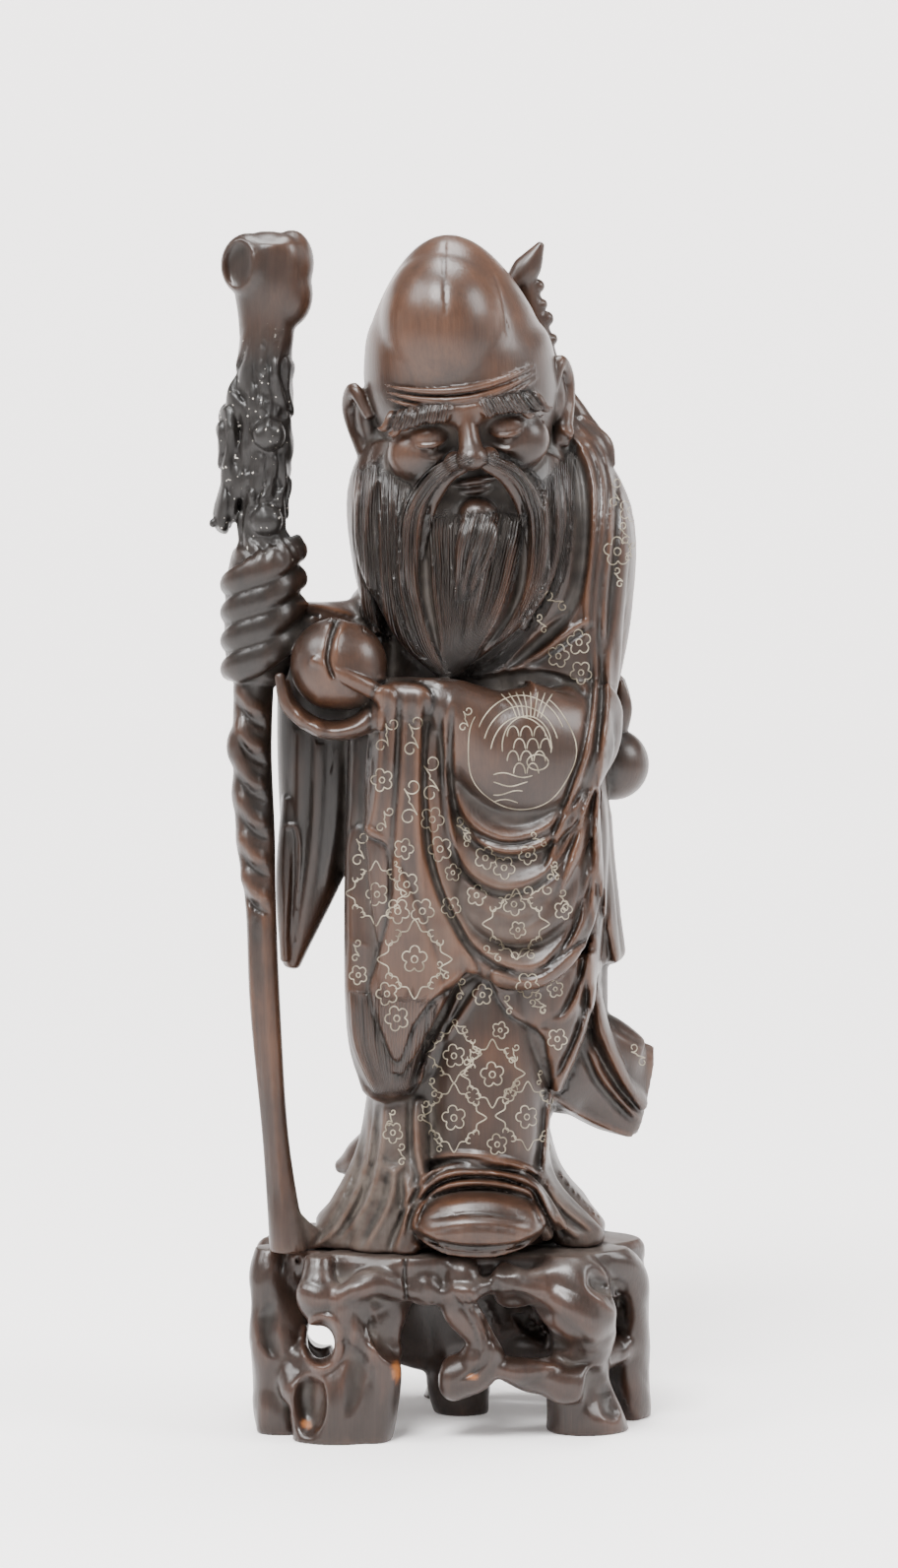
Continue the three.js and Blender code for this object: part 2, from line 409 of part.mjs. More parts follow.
function rootwork() {
  const legs = [
    // Left column, bowed outward
    [[-0.42, -0.1, 0.9, 1.1, 1.3], [-0.43, -0.16, 0.68, 1.35, 1.5], [-0.44, -0.2, 0.45, 1.25, 1.5],
      [-0.42, -0.24, -0.02, 1.2, 1.5]],
    // Front left leg, with a second foot in front of its scoop
    [[-0.2, -0.3, 0.88, 2.3, 1.7], [-0.21, -0.38, 0.62, 1.6, 1.3], [-0.22, -0.4, 0.4, 1.6, 1.3],
      [-0.27, -0.42, 0.2, 2.3, 1.4], [-0.27, -0.42, -0.02, 2.4, 1.4]],
    [[-0.17, -0.4, 0.44, 1, 1.1], [-0.15, -0.43, 0.2, 0.9, 1], [-0.175, -0.44, -0.02, 0.9, 0.8]],
    // Front right leg, swelling to a boss below the deck
    [[0.29, -0.28, 0.88, 1.9, 1.6], [0.335, -0.36, 0.66, 1.6, 1.4], [0.33, -0.28, 0.36, 1.3, 1.2],
      [0.36, -0.24, -0.02, 2, 1.4]],
    // Right column
    [[0.42, 0.04, 0.9, 1.2, 1.5], [0.46, -0.02, 0.66, 1, 1.3], [0.45, 0.06, 0.36, 1.1, 1.4],
      [0.46, 0.12, -0.02, 1.2, 1.5]],
    // Legs at the back
    [[-0.36, 0.28, 0.88, 1.8, 1.5], [-0.38, 0.34, 0.5, 1.2, 1.2], [-0.34, 0.36, -0.02, 1.5, 1.2]],
    [[0.02, 0.34, 0.88, 2, 1.4], [0.06, 0.4, 0.5, 1.2, 1.1], [0.01, 0.38, -0.02, 1.5, 1.2]],
    [[0.34, 0.3, 0.88, 1.6, 1.4], [0.36, 0.36, 0.5, 1.1, 1.1], [0.34, 0.34, -0.02, 1.4, 1.2]],
    // Heart of the root under the deck, and its short leg
    [[0, 0.06, 0.88, 5, 2.4], [-0.01, 0.08, 0.56, 4.6, 1.9], [-0.01, 0.1, 0.36, 3.2, 1.3]],
    [[0.03, 0.08, 0.5, 1.7, 1.3], [0.03, 0.07, 0.24, 1.5, 1.2], [0.035, 0.09, -0.02, 1, 1]],
  ];
  const runners = [
    // Hooked root that hangs under the shoe and turns to the right
    [[-0.02, -0.36, 0.84, 0.6, 0.7], [0.03, -0.45, 0.64, 0.5, 0.6], [0.075, -0.46, 0.4, 0.6, 0.7],
      [0.02, -0.43, 0.3, 1, 0.9]],
    [[-0.01, -0.44, 0.8, 0.5, 0.6], [0.05, -0.48, 0.83, 0.5, 0.6], [0.11, -0.4, 0.86, 0.5, 0.7]],
    [[0.06, -0.46, 0.46, 0.5, 0.6], [0.13, -0.44, 0.4, 0.5, 0.7], [0.21, -0.4, 0.35, 0.9, 1],
      [0.3, -0.32, 0.33, 1, 1.1]],
    // Bridges between the legs
    [[-0.42, -0.22, 0.44, 0.9, 0.9], [-0.34, -0.34, 0.36, 0.8, 0.9], [-0.26, -0.4, 0.32, 1, 1]],
    [[-0.44, -0.12, 0.62, 0.9, 0.9], [-0.44, 0.1, 0.5, 0.8, 0.9], [-0.38, 0.32, 0.56, 0.9, 0.9]],
    [[-0.36, 0.34, 0.42, 0.8, 0.8], [-0.18, 0.42, 0.56, 0.7, 0.8], [0.04, 0.38, 0.5, 0.9, 0.9]],
    [[0.05, 0.38, 0.44, 0.8, 0.8], [0.2, 0.42, 0.34, 0.7, 0.8], [0.34, 0.34, 0.44, 0.9, 0.9]],
    [[0.45, 0.04, 0.5, 0.8, 0.8], [0.43, 0.2, 0.6, 0.7, 0.8], [0.36, 0.34, 0.52, 0.9, 0.9]],
    [[0.35, -0.26, 0.34, 0.8, 0.8], [0.43, -0.12, 0.42, 0.7, 0.8], [0.45, 0.04, 0.4, 0.9, 0.9]],
  ];
  const scoops = [
    [[-0.325, -0.56, 0.22], [1, 1.1, 1.7]], [[0.385, -0.4, 0.18], [1.1, 1, 1.5]],
    [[-0.29, -0.5, 0.6], [1.4, 1.1, 1.4]], [[0.38, -0.38, 0.92], [0.8, 1, 1]],
    [[-0.1, -0.5, 0.62], [1.7, 1.2, 1.5]],
  ].map(([[u, v, w], half]) => blob([u * BASE_WIDTH, v * BASE_DEPTH, w * BASE_HEIGHT],
    half.map((share) => share * ROOT_RADIUS), 8));
  const whole = join([deck(), ...legs.map((stations) => limb(stations)),
    ...runners.map((stations) => limb(stations))]);
  return scoops.reduce((left, cut) => left.subtract(cut), whole)
    .subtract(below(0)).translate([BASE_SHIFT, 0, 0]);
}

// Everything under a height, to cut an underside flat.
function below(z) {
  const span = 4 * (FIGURE_HEIGHT + BASE_WIDTH + BASE_DEPTH);
  return solid(new THREE.BoxGeometry(span, span, span).translate(0, 0, z - span / 2));
}

function figure() {
  const { forms, hollow } = staff();
  const whole = join([...robe(), ...head(), ...beard(), ...arms(), ...branch(), ...forms]);
  return whole.subtract(hollow).subtract(below(0)).scale([PART, PART, PART]);
}

function node(name, manifold, material) {
  const { vertProperties, triVerts } = manifold.getMesh();
  const geometry = new THREE.BufferGeometry();
  geometry.setAttribute('position', new THREE.BufferAttribute(vertProperties, 3));
  geometry.setIndex(new THREE.BufferAttribute(triVerts, 1));
  geometry.computeVertexNormals();
  const mesh = new THREE.Mesh(geometry, material);
  mesh.name = name;
  return mesh;
}

const polishedWood = new THREE.MeshStandardMaterial({ color: 0x4a3328, roughness: 0.42, metalness: 0 });
const duskyWood = new THREE.MeshStandardMaterial({ color: 0x3a2a24, roughness: 0.5, metalness: 0 });

const part = new THREE.Group();
const figureMesh = node('figure', figure(), polishedWood);
figureMesh.position.set(0, 0, BASE_HEIGHT + SEAM_GAP);
part.add(figureMesh, node('root_base', rootwork(), duskyWood));

export default part;
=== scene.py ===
"""Looks of a carved hardwood elder with a staff and a peach, who stands on a rootwork plinth.

The two wooden pieces are worked out as fields of distance: each form is a surface of two parameters,
turned into a distance on a grid of small cubes and melted into its neighbours. The carving that shows
from the front and the back, such as hair, folds and hems, is a drawing of heights laid on that field.
Silver wire is let into the finished surface. Forms of the figure are in parts, a hundredth of its
height, as in the source of the solids, and drawings are in places of the photograph's own frame.
"""
import logging
import math
from collections.abc import Callable, Sequence
from dataclasses import dataclass, field
from enum import Enum

import bpy
import numpy as np
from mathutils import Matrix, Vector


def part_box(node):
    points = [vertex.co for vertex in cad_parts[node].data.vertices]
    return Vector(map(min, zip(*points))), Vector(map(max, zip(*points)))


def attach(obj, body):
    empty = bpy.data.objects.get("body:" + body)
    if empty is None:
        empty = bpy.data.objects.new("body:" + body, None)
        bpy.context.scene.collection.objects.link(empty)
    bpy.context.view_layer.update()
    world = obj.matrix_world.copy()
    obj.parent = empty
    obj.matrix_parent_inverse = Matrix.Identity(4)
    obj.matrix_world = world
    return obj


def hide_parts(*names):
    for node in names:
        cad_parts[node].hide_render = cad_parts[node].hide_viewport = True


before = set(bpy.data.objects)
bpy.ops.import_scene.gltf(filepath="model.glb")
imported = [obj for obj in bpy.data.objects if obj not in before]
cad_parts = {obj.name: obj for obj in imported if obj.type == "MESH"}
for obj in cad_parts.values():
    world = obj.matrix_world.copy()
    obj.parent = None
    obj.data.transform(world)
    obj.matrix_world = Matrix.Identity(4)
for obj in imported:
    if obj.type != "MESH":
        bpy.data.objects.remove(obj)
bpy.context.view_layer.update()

import openvdb as vdb
from mathutils import Vector
from mathutils.bvhtree import BVHTree

LOG = logging.getLogger("elder")
Array = np.ndarray
Places = Sequence[tuple[float, ...]]

FIGURE_HEIGHT = 403.0  # mm, hem to the top of the staff
PART = FIGURE_HEIGHT / 100
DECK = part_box("figure")[0][2] * 1000  # mm, underside of the figure
FRONT = (0.0, -1.0, 0.0)
UP = (0.0, 0.0, 1.0)
MM = 0.001
PIXEL = 0.39  # mm that a pixel of the photograph spans on the figure
CUBE = 0.8  # mm, side of a cube of the grid
BAND = 5.0  # cubes on both sides of a surface that hold its distance
REACH = BAND * CUBE * 0.98  # mm from a surface up to which cubes follow the carving


class Lay(Enum):
    """How a drawn form meets what is drawn already."""

    OVER = "over"
    ADD = "add"


@dataclass(frozen=True)
class Shell:
    """A closed surface: points, four-cornered faces and three-cornered faces."""

    points: Array
    quads: Array
    tris: Array

    def moved(self, scale: float, lift: float) -> "Shell":
        """Returns the shell scaled about the origin and then lifted."""
        return Shell(self.points * scale + np.array([0, 0, lift]), self.quads, self.tris)

    def turned(self, matrix: Array, place: Sequence[float]) -> "Shell":
        """Returns the shell turned by a matrix and then moved to a place."""
        return Shell(self.points @ matrix.T + np.array(place), self.quads, self.tris)


@dataclass(frozen=True)
class Form:
    """A shell and how far, in millimetres, it melts into what it is joined to."""

    shell: Shell
    melt: float = 1.5


def cubic(ends: Sequence[Array], w: Array) -> Array:
    """Catmull-Rom cubic from the second of four points to the third, with half the chord of the
    neighbours as its slope at both.

    Args:
        ends: the four points.
        w: places between the two, from 0 to 1.

    Returns:
        The points there.
    """
    a, b, c, d = ends
    return 0.5 * (2 * b + (c - a) * w + (2 * a - 5 * b + 4 * c - d) * w**2 + (3 * b - a - 3 * c + d) * w**3)


def smooth_line(points: Array, t: Array) -> Array:
    """Uniform Catmull-Rom line, with the chord repeated at the two ends of the line.

    Args:
        points: stations, one row each.
        t: places along the line from 0 to 1.

    Returns:
        One row for each value of t.
    """
    p = np.vstack([2 * points[0] - points[1], points, 2 * points[-1] - points[-2]])
    place = np.clip(t, 0, 1) * (len(points) - 1)
    k = np.minimum(place.astype(int), len(points) - 2)
    w = (place - k)[:, None]
    return cubic((p[k], p[k + 1], p[k + 2], p[k + 3]), w)


def skin_rings(rings: Array) -> Shell:
    """Joins rings of points into a closed shell, with a fan at both ends.

    Args:
        rings: points of each ring: ring, point, axis.

    Returns:
        The shell.
    """
    rows, sides, _ = rings.shape
    k = np.arange(sides)
    after = (k + 1) % sides
    start = np.arange(rows - 1)[:, None] * sides
    quads = np.stack([start + k, start + after, start + sides + after, start + sides + k], -1)
    points = np.vstack([rings.reshape(-1, 3), rings[0].mean(0), rings[-1].mean(0)])
    low, high = rows * sides, rows * sides + 1
    last = (rows - 1) * sides
    tris = np.vstack([np.stack([np.full(sides, low), after, k], -1),
                      np.stack([np.full(sides, high), last + k, last + after], -1)])
    return Shell(points, quads.reshape(-1, 4), tris)


def sweep(stations: Places, sides: int = 24, face: Sequence[float] = FRONT, square: float = 1.0,
          pleats: int = 0, depth: float = 0.0, dome: float = 0.6, fine: int = 6) -> Shell:
    """Oval sections carried along a smooth line.

    A station is x, y, z, the half width across the line and the half depth along `face`. A point is
    the middle plus side * sin(angle) * width plus face * cos(angle) * depth, with both swelled by
    1 + depth * cos(pleats * angle). Both ends close with a quarter round.

    Args:
        stations: rows of five numbers.
        sides: points in a section.
        face: direction that the half depth points to.
        square: power below 1 that squares the oval off.
        pleats: waves round the section.
        depth: height of those waves as a share of the radius.
        dome: how far the round ends reach past the last stations, in half depths.
        fine: rings for each span.

    Returns:
        The closed shell.
    """
    rows = np.array(stations, float)
    t = np.linspace(0, 1, (len(rows) - 1) * fine + 1)
    line = smooth_line(rows, t)
    middle, size = line[:, :3], np.maximum(line[:, 3:5], 0.02)
    ahead = np.gradient(middle, axis=0)
    ahead /= np.linalg.norm(ahead, axis=1)[:, None]
    turn = np.linspace(0, math.pi / 2, 6)[1:-1]
    reach = dome * size.min(1)
    t = np.concatenate([np.zeros(len(turn)), t, np.ones(len(turn))])
    ends = np.concatenate([-np.sin(turn[::-1]) * reach[0], np.zeros(len(middle)), np.sin(turn) * reach[-1]])
    shrink = np.concatenate([np.cos(turn[::-1]), np.ones(len(middle)), np.cos(turn)])
    pad = [len(turn), len(turn)]
    middle, size, ahead = (np.pad(a, [pad, [0, 0]], mode="edge") for a in (middle, size, ahead))
    middle = middle + ahead * ends[:, None]
    normal = np.array(face) - ahead * (ahead @ np.array(face))[:, None]
    normal /= np.linalg.norm(normal, axis=1)[:, None]
    side = np.cross(ahead, normal)
    angle = 2 * np.pi * np.arange(sides) / sides
    bent_sin = np.sign(np.sin(angle)) * np.abs(np.sin(angle)) ** square
    bent_cos = np.sign(np.cos(angle)) * np.abs(np.cos(angle)) ** square
    swell = shrink[:, None] * (1 + depth * (0.3 + 0.7 * t)[:, None] * np.cos(pleats * angle))
    rings = (middle[:, None] + side[:, None] * (bent_sin * size[:, :1] * swell)[..., None]
             + normal[:, None] * (bent_cos * size[:, 1:] * swell)[..., None])
    return skin_rings(rings)


def ball(middle: Sequence[float], half: Sequence[float], sides: int = 24) -> Shell:
    """An egg of three half sizes: rings at equal steps of latitude.

    Args:
        middle: its middle.
        half: its three half sizes.
        sides: points in a ring.

    Returns:
        The shell.
    """
    turn = np.linspace(-math.pi / 2, math.pi / 2, sides // 2 + 1)[1:-1, None]
    angle = 2 * np.pi * np.arange(sides)[None] / sides
    rings = np.stack([np.cos(turn) * np.cos(angle), np.cos(turn) * np.sin(angle),
                      np.sin(turn) + 0 * angle], -1)
    return skin_rings(rings * np.array(half) + np.array(middle))


def turning(bow: float, tilt: float, turn: float) -> Array:
    """Matrix that turns about z, then y, then x, which stay fixed.

    Args:
        bow: degrees about x.
        tilt: degrees about y.
        turn: degrees about z.

    Returns:
        The matrix.
    """
    a, b, c = (math.radians(v) for v in (bow, tilt, turn))
    rx = np.array([[1, 0, 0], [0, math.cos(a), -math.sin(a)], [0, math.sin(a), math.cos(a)]])
    ry = np.array([[math.cos(b), 0, math.sin(b)], [0, 1, 0], [-math.sin(b), 0, math.cos(b)]])
    rz = np.array([[math.cos(c), -math.sin(c), 0], [math.sin(c), math.cos(c), 0], [0, 0, 1]])
    return rx @ ry @ rz


def running_mean(values: Array, radius: int, axis: int) -> Array:
    """Blurs an array along an axis, with its ends repeated.

    Args:
        values: the array.
        radius: half width of the mean, in steps.
        axis: the axis.

    Returns:
        The blurred array.
    """
    width, size = 2 * radius + 1, values.shape[axis]
    pad = [(radius + 1, radius) if a == axis else (0, 0) for a in range(values.ndim)]
    total = np.cumsum(np.pad(values, pad, mode="edge"), axis=axis, dtype=values.dtype)
    return (np.take(total, range(width, width + size), axis) - np.take(total, range(size), axis)) / width


@dataclass
class Block:
    """A box of small cubes that hold the distance to a surface in millimetres, below 0 inside."""

    low: Array
    high: Array
    distance: Array = field(init=False)

    def __post_init__(self) -> None:
        """Starts with nothing but air."""
        shape = np.ceil((self.high - self.low) / CUBE).astype(int) + 1
        self.distance = np.full(shape, BAND * CUBE, np.float32)

    def measure(self, shell: Shell) -> tuple[tuple[slice, ...], Array]:
        """Measures the distance to a shell from the cubes near it.

        Args:
            shell: a closed surface in millimetres.

        Returns:
            The box of those cubes as slices, and their distances.
        """
        points = ((shell.points - self.low) / CUBE).astype(np.float32)
        grid = vdb.FloatGrid.createLevelSetFromPolygons(
            points, triangles=shell.tris.astype(np.uint32), quads=shell.quads.astype(np.uint32),
            transform=vdb.createLinearTransform(voxelSize=1.0), halfWidth=BAND)
        first = np.clip(np.floor(points.min(0)) - BAND - 1, 0, np.array(self.distance.shape) - 1)
        last = np.clip(np.ceil(points.max(0)) + BAND + 1, 0, np.array(self.distance.shape) - 1)
        first, last = first.astype(int), last.astype(int)
        near = np.zeros(last - first + 1, np.float32)
        grid.copyToArray(near, ijk=tuple(int(v) for v in first))
        return tuple(slice(a, b + 1) for a, b in zip(first, last)), near * CUBE

    @staticmethod
    def blend(here: Array, near: Array, melt: float) -> Array:
        """How far two surfaces swell into each other: a quarter of the overlap's square over the melt,
        where the overlap is the melt less the difference of the two distances. It dies away towards the
        end of the band, where the distances are only known to be large.

        Args:
            here: distances to one surface.
            near: distances to the other.
            melt: millimetres.

        Returns:
            Millimetres for each cube.
        """
        overlap = np.maximum(melt - np.abs(here - near), 0)
        known = np.clip(BAND * CUBE - 0.1 - np.maximum(np.abs(here), np.abs(near)), 0, 1)
        return known * overlap**2 / (4 * melt)

    def join(self, form: Form) -> None:
        """Adds a form: the smaller distance, less the blend.

        Args:
            form: what is added.
        """
        where, near = self.measure(form.shell)
        here = self.distance[where]
        self.distance[where] = np.minimum(here, near) - self.blend(here, near, form.melt)

    def cut(self, form: Form) -> None:
        """Takes a form away: the larger of the distance and the form's turned inside out.

        Args:
            form: what is taken away.
        """
        where, near = self.measure(form.shell)
        here = self.distance[where]
        self.distance[where] = np.maximum(here, -near) + self.blend(here, -near, form.melt)

    def below(self, height: float) -> None:
        """Cuts everything under a height off flat."""
        z = self.low[2] + CUBE * np.arange(self.distance.shape[2], dtype=np.float32)
        self.distance = np.maximum(self.distance, height - z)

    def carve(self, height: Callable[[Array, Array], Array]) -> None:
        """Moves the surface out.

        Args:
            height: how far, for places and the directions that the surface faces there.
        """
        cubes = np.argwhere(np.abs(self.distance) < REACH)
        places = cubes * CUBE + self.low
        last = np.array(self.distance.shape) - 1
        faces = np.stack([self.distance[tuple(np.minimum(cubes + step, last).T)]
                          - self.distance[tuple(np.maximum(cubes - step, 0).T)]
                          for step in np.eye(3, dtype=int)], -1)
        faces /= np.linalg.norm(faces, axis=1)[:, None] + 1e-6
        self.distance[tuple(cubes.T)] -= height(places, faces).astype(np.float32)

    def surface(self) -> tuple[Array, Array]:
        """Finds the surface at distance 0, with its faces out.

        Returns:
            Points in millimetres, and the four points of each face.
        """
        grid = vdb.FloatGrid(BAND * CUBE)
        grid.copyFromArray(self.distance)
        points, quads = grid.convertToQuads(isovalue=0.0)
        a, b, c, d = (points[quads[:, k]] for k in range(4))
        volume = (a * np.cross(b, c)).sum() + (a * np.cross(c, d)).sum()
        return points * CUBE + self.low, quads if volume > 0 else quads[:, ::-1]

    def softened(self, radius: int) -> Array:
        """Blurs every second cube's distance by two running means on each axis.

        Args:
            radius: half width of a mean, in steps of two cubes.

        Returns:
            The blurred distances.
        """
        soft = self.distance[::2, ::2, ::2]
        for axis in (0, 1, 2, 0, 1, 2):
            soft = running_mean(soft, radius, axis)
        return soft

    def read(self, values: Array, places: Array) -> Array:
        """Reads every second cube's values at places, each as the mean of eight by nearness.

        Args:
            values: one for every second cube.
            places: millimetres.

        Returns:
            A value for each place.
        """
        spot = np.clip((places - self.low) / (2 * CUBE), 0, np.array(values.shape) - 1.001)
        k = spot.astype(int)
        w = spot - k
        total = np.zeros(len(places), np.float32)
        for corner in np.ndindex(2, 2, 2):
            share = np.prod(np.where(corner, w, 1 - w), axis=1)
            total += share * values[tuple((k + corner).T)]
        return total


@dataclass(frozen=True)
class View:
    """The photograph's frame and the eye it is seen from, or its twin behind the object."""

    eye: tuple[float, float, float] = (5.5, -2250.0, 470.0)  # mm
    pitch: float = 5.45  # degrees down
    focal: float = 5769.0  # pixels
    width: int = 912
    height: int = 1592
    facing: int = 1  # 1 from the front, -1 from behind

    def axes(self) -> tuple[Array, Array, Array]:
        """The directions to the right, up and ahead.

        Returns:
            Three unit vectors.
        """
        p = math.radians(self.pitch)
        return (np.array([self.facing, 0.0, 0.0]), np.array([0, self.facing * math.sin(p), math.cos(p)]),
                np.array([0, self.facing * math.cos(p), -math.sin(p)]))

    def project(self, places: Array) -> Array:
        """Projects places on the frame.

        Args:
            places: millimetres.

        Returns:
            Column, row and distance ahead of each place.
        """
        right, up, ahead = self.axes()
        away = places - np.array(self.eye) * (1, self.facing, 1)
        deep = away @ ahead
        return np.stack([self.width / 2 + self.focal * (away @ right) / deep,
                         self.height / 2 - self.focal * (away @ up) / deep, deep], -1)

    def rays(self, pixels: Array) -> Array:
        """The directions from the eye through pixels.

        Args:
            pixels: columns and rows.

        Returns:
            A unit vector for each pixel.
        """
        right, up, ahead = self.axes()
        column, row = pixels[:, 0] - self.width / 2, self.height / 2 - pixels[:, 1]
        way = self.focal * ahead + column[:, None] * right + row[:, None] * up
        return way / np.linalg.norm(way, axis=1)[:, None]


@dataclass(frozen=True)
class Stroke:
    """A ridge or a groove along a smooth line of the frame.

    The path and the width are in pixels and the rise in millimetres, below 0 for a groove. Lean says
    where the crest lies across the stroke, from -1 to 1, and fade the share of its length over which
    an end dies away.
    """

    path: Places
    width: float
    rise: float
    lean: float = 0.0
    fade: float = 0.3
    how: Lay = Lay.ADD


def rolled(paths: Sequence[Places], ridge: tuple, hollow: tuple, shift: tuple[int, int]) -> list[Stroke]:
    """Draws folds, each a ridge with a hollow beside it.

    Args:
        paths: lines of the frame.
        ridge: width, rise, lean and fade of the ridges.
        hollow: the same of the hollows.
        shift: pixels from a ridge to its hollow.

    Returns:
        The ridges and then the hollows.
    """
    beside = [[(x + shift[0], y + shift[1]) for x, y in path] for path in paths]
    return [Stroke(path, *ridge) for path in paths] + [Stroke(path, *hollow) for path in beside]


@dataclass(frozen=True)
class Panel:
    """A raised or sunk area of the frame: outline in pixels, rise in millimetres, rounded edge."""

    outline: Places
    rise: float
    edge: int = 5
    sink: float = 0.5


@dataclass(frozen=True)
class Comb:
    """Locks or pleats side by side between two smooth lines of the frame."""

    left: Places
    right: Places
    count: int
    rise: float
    wave: float = 2.0
    hair: bool = True
    fade: float = 0.15
    tint: float = 1.0  # how much of the hair's stain and tool marks it has

    def strokes(self, rng: np.random.Generator) -> list[Stroke]:
        """Draws each lock at a slightly uneven place and height.

        Args:
            rng: source of the unevenness.

        Returns:
            A stroke for each lock.
        """
        t = np.linspace(0, 1, 9)
        left, right = (smooth_line(np.array(side, float), t) for side in (self.left, self.right))
        wide = np.linalg.norm(right - left, axis=1).mean() / self.count
        strokes = []
        for i in range(self.count):
            u = (i + 0.5 + rng.uniform(-0.2, 0.2)) / self.count
            path = left + (right - left) * u
            path[:, 0] += self.wave * np.sin(t * 7 + rng.uniform(0, 6))
            rise, lean = self.rise * rng.uniform(0.7, 1.15), rng.uniform(-0.5, 0.5)
            strokes.append(Stroke(path, wide * 1.15, rise, lean, self.fade, Lay.OVER))
        return strokes


def blurred(image: Array, radius: int) -> Array:
    """Blurs an image by a running mean each way, twice where the radius is over a pixel.

    Args:
        image: one value to a pixel.
        radius: half width of the mean, in pixels.

    Returns:
        The blurred image.
    """
    for axis in (0, 1) * min(radius, 2):
        image = running_mean(image, radius, axis)
    return image


@dataclass
class Drawing:
    """Heights in millimetres over a window of the frame, one to a pixel, as a carver's cartoon."""

    view: View
    left: int = 190
    top: int = 200
    columns: int = 510
    rows: int = 1120
    cell: int = 3  # pixels, side of a cell of the map of distances
    limit: float = 3.2  # mm, the most that a height stands out or lies back
    around: int = 7  # pixels of blur that a height is set against
    deep: float = 1.3  # mm below those round it that count as a full groove
    samples: float = 2.2  # to a pixel, across and along a stroke
    behind: float = 13.0  # mm behind the first surface at which nothing counts
    fading: float = 6.0  # mm before that over which it fades
    turned: float = 0.5  # cosine of the facing below which it fades
    along: int = 700  # places along a comb at which its hair is noted
    sideways: int = 260  # places across it
    heights: Array = field(init=False)
    across: Array = field(init=False)
    hair: Array = field(init=False)
    grooves: Array = field(init=False)
    first: Array = field(init=False)

    def __post_init__(self) -> None:
        """Starts with a blank sheet."""
        shape = (self.rows, self.columns)
        self.heights, self.across, self.hair, self.grooves = (np.zeros(shape, np.float32) for _ in range(4))

    def finish(self) -> None:
        """Smooths and limits the heights, and notes from -1 to 1 how far each lies below those round it."""
        self.heights = np.clip(blurred(self.heights, 1), -self.limit, self.limit)
        self.grooves = np.clip((blurred(self.heights, self.around) - self.heights) / self.deep, -1, 1)

    def spots(self, places: Array) -> tuple[Array, Array, Array]:
        """Finds places in the window.

        Args:
            places: pixels of the frame.

        Returns:
            Row and column of each place, and whether it is inside the window.
        """
        column = np.rint(places[..., 0] - self.left).astype(int)
        row = np.rint(places[..., 1] - self.top).astype(int)
        return row, column, (row >= 0) & (row < self.rows) & (column >= 0) & (column < self.columns)

    def lay(self, places: Array, rise: Array, how: Lay) -> None:
        """Lays samples of one stroke on their pixels: the strongest counts, then over or added.

        Args:
            places: pixels of the frame.
            rise: height of each sample.
            how: over what is drawn, or added to it.
        """
        row, column, inside = self.spots(places)
        row, column, rise = row[inside], column[inside], rise[inside]
        if not len(row):
            return
        window = (slice(row.min(), row.max() + 1), slice(column.min(), column.max() + 1))
        sign = -1.0 if rise.sum() < 0 else 1.0
        layer = np.full(self.heights[window].shape, -1.0, np.float32)
        np.maximum.at(layer, (row - row.min(), column - column.min()), np.abs(rise))
        drawn = layer >= 0
        here = self.heights[window]
        here[drawn] = np.maximum(here, layer)[drawn] if how is Lay.OVER else (here + sign * layer)[drawn]

    def stroke(self, stroke: Stroke) -> None:
        """Draws a stroke. Its height is rise * sin(quarter turn * nearness to its edge), where the
        nearness falls from 1 at the crest to 0 at both sides, times the fade of its two ends.

        Args:
            stroke: what is drawn.
        """
        path = np.array(stroke.path, float)
        long = np.linalg.norm(np.diff(path, axis=0), axis=1).sum()
        t = np.linspace(0, 1, max(int(long * self.samples), 8))
        line = smooth_line(path, t)
        ahead = np.gradient(line, axis=0)
        ahead /= np.linalg.norm(ahead, axis=1)[:, None] + 1e-9
        side = np.stack([-ahead[:, 1], ahead[:, 0]], -1)
        u = np.linspace(-1, 1, max(int(stroke.width * self.samples), 5))
        near = np.where(u < stroke.lean, (1 + u) / (1 + stroke.lean), (1 - u) / (1 - stroke.lean))
        ends = np.clip(np.minimum(t, 1 - t) / max(stroke.fade, 0.01), 0, 1)
        ends = ends * (2 - ends)
        taper = (0.35 + 0.65 * ends)[:, None, None]
        places = line[:, None] + side[:, None] * (u * stroke.width / 2)[None, :, None] * taper
        self.lay(places, stroke.rise * ends[:, None] * np.sin(near * math.pi / 2)[None], stroke.how)

    def comb(self, comb: Comb, rng: np.random.Generator) -> None:
        """Draws the locks of a comb over what is there, and for hair notes how far across each pixel
        lies.

        Args:
            comb: what is drawn.
            rng: source of its unevenness.
        """
        under, self.heights = self.heights, np.zeros_like(self.heights)
        for stroke in comb.strokes(rng):
            self.stroke(stroke)
        self.heights += under
        if not comb.hair:
            return
        t = np.linspace(0, 1, self.along)
        left, right = (smooth_line(np.array(side, float), t)[:, None] for side in (comb.left, comb.right))
        u = np.linspace(0, 1, self.sideways)
        row, column, inside = self.spots(left + (right - left) * u[None, :, None])
        wide = float(np.linalg.norm(right - left, axis=-1).max()) * PIXEL
        self.across[row[inside], column[inside]] = np.broadcast_to(u * wide, row.shape)[inside]
        self.hair[row[inside], column[inside]] = comb.tint

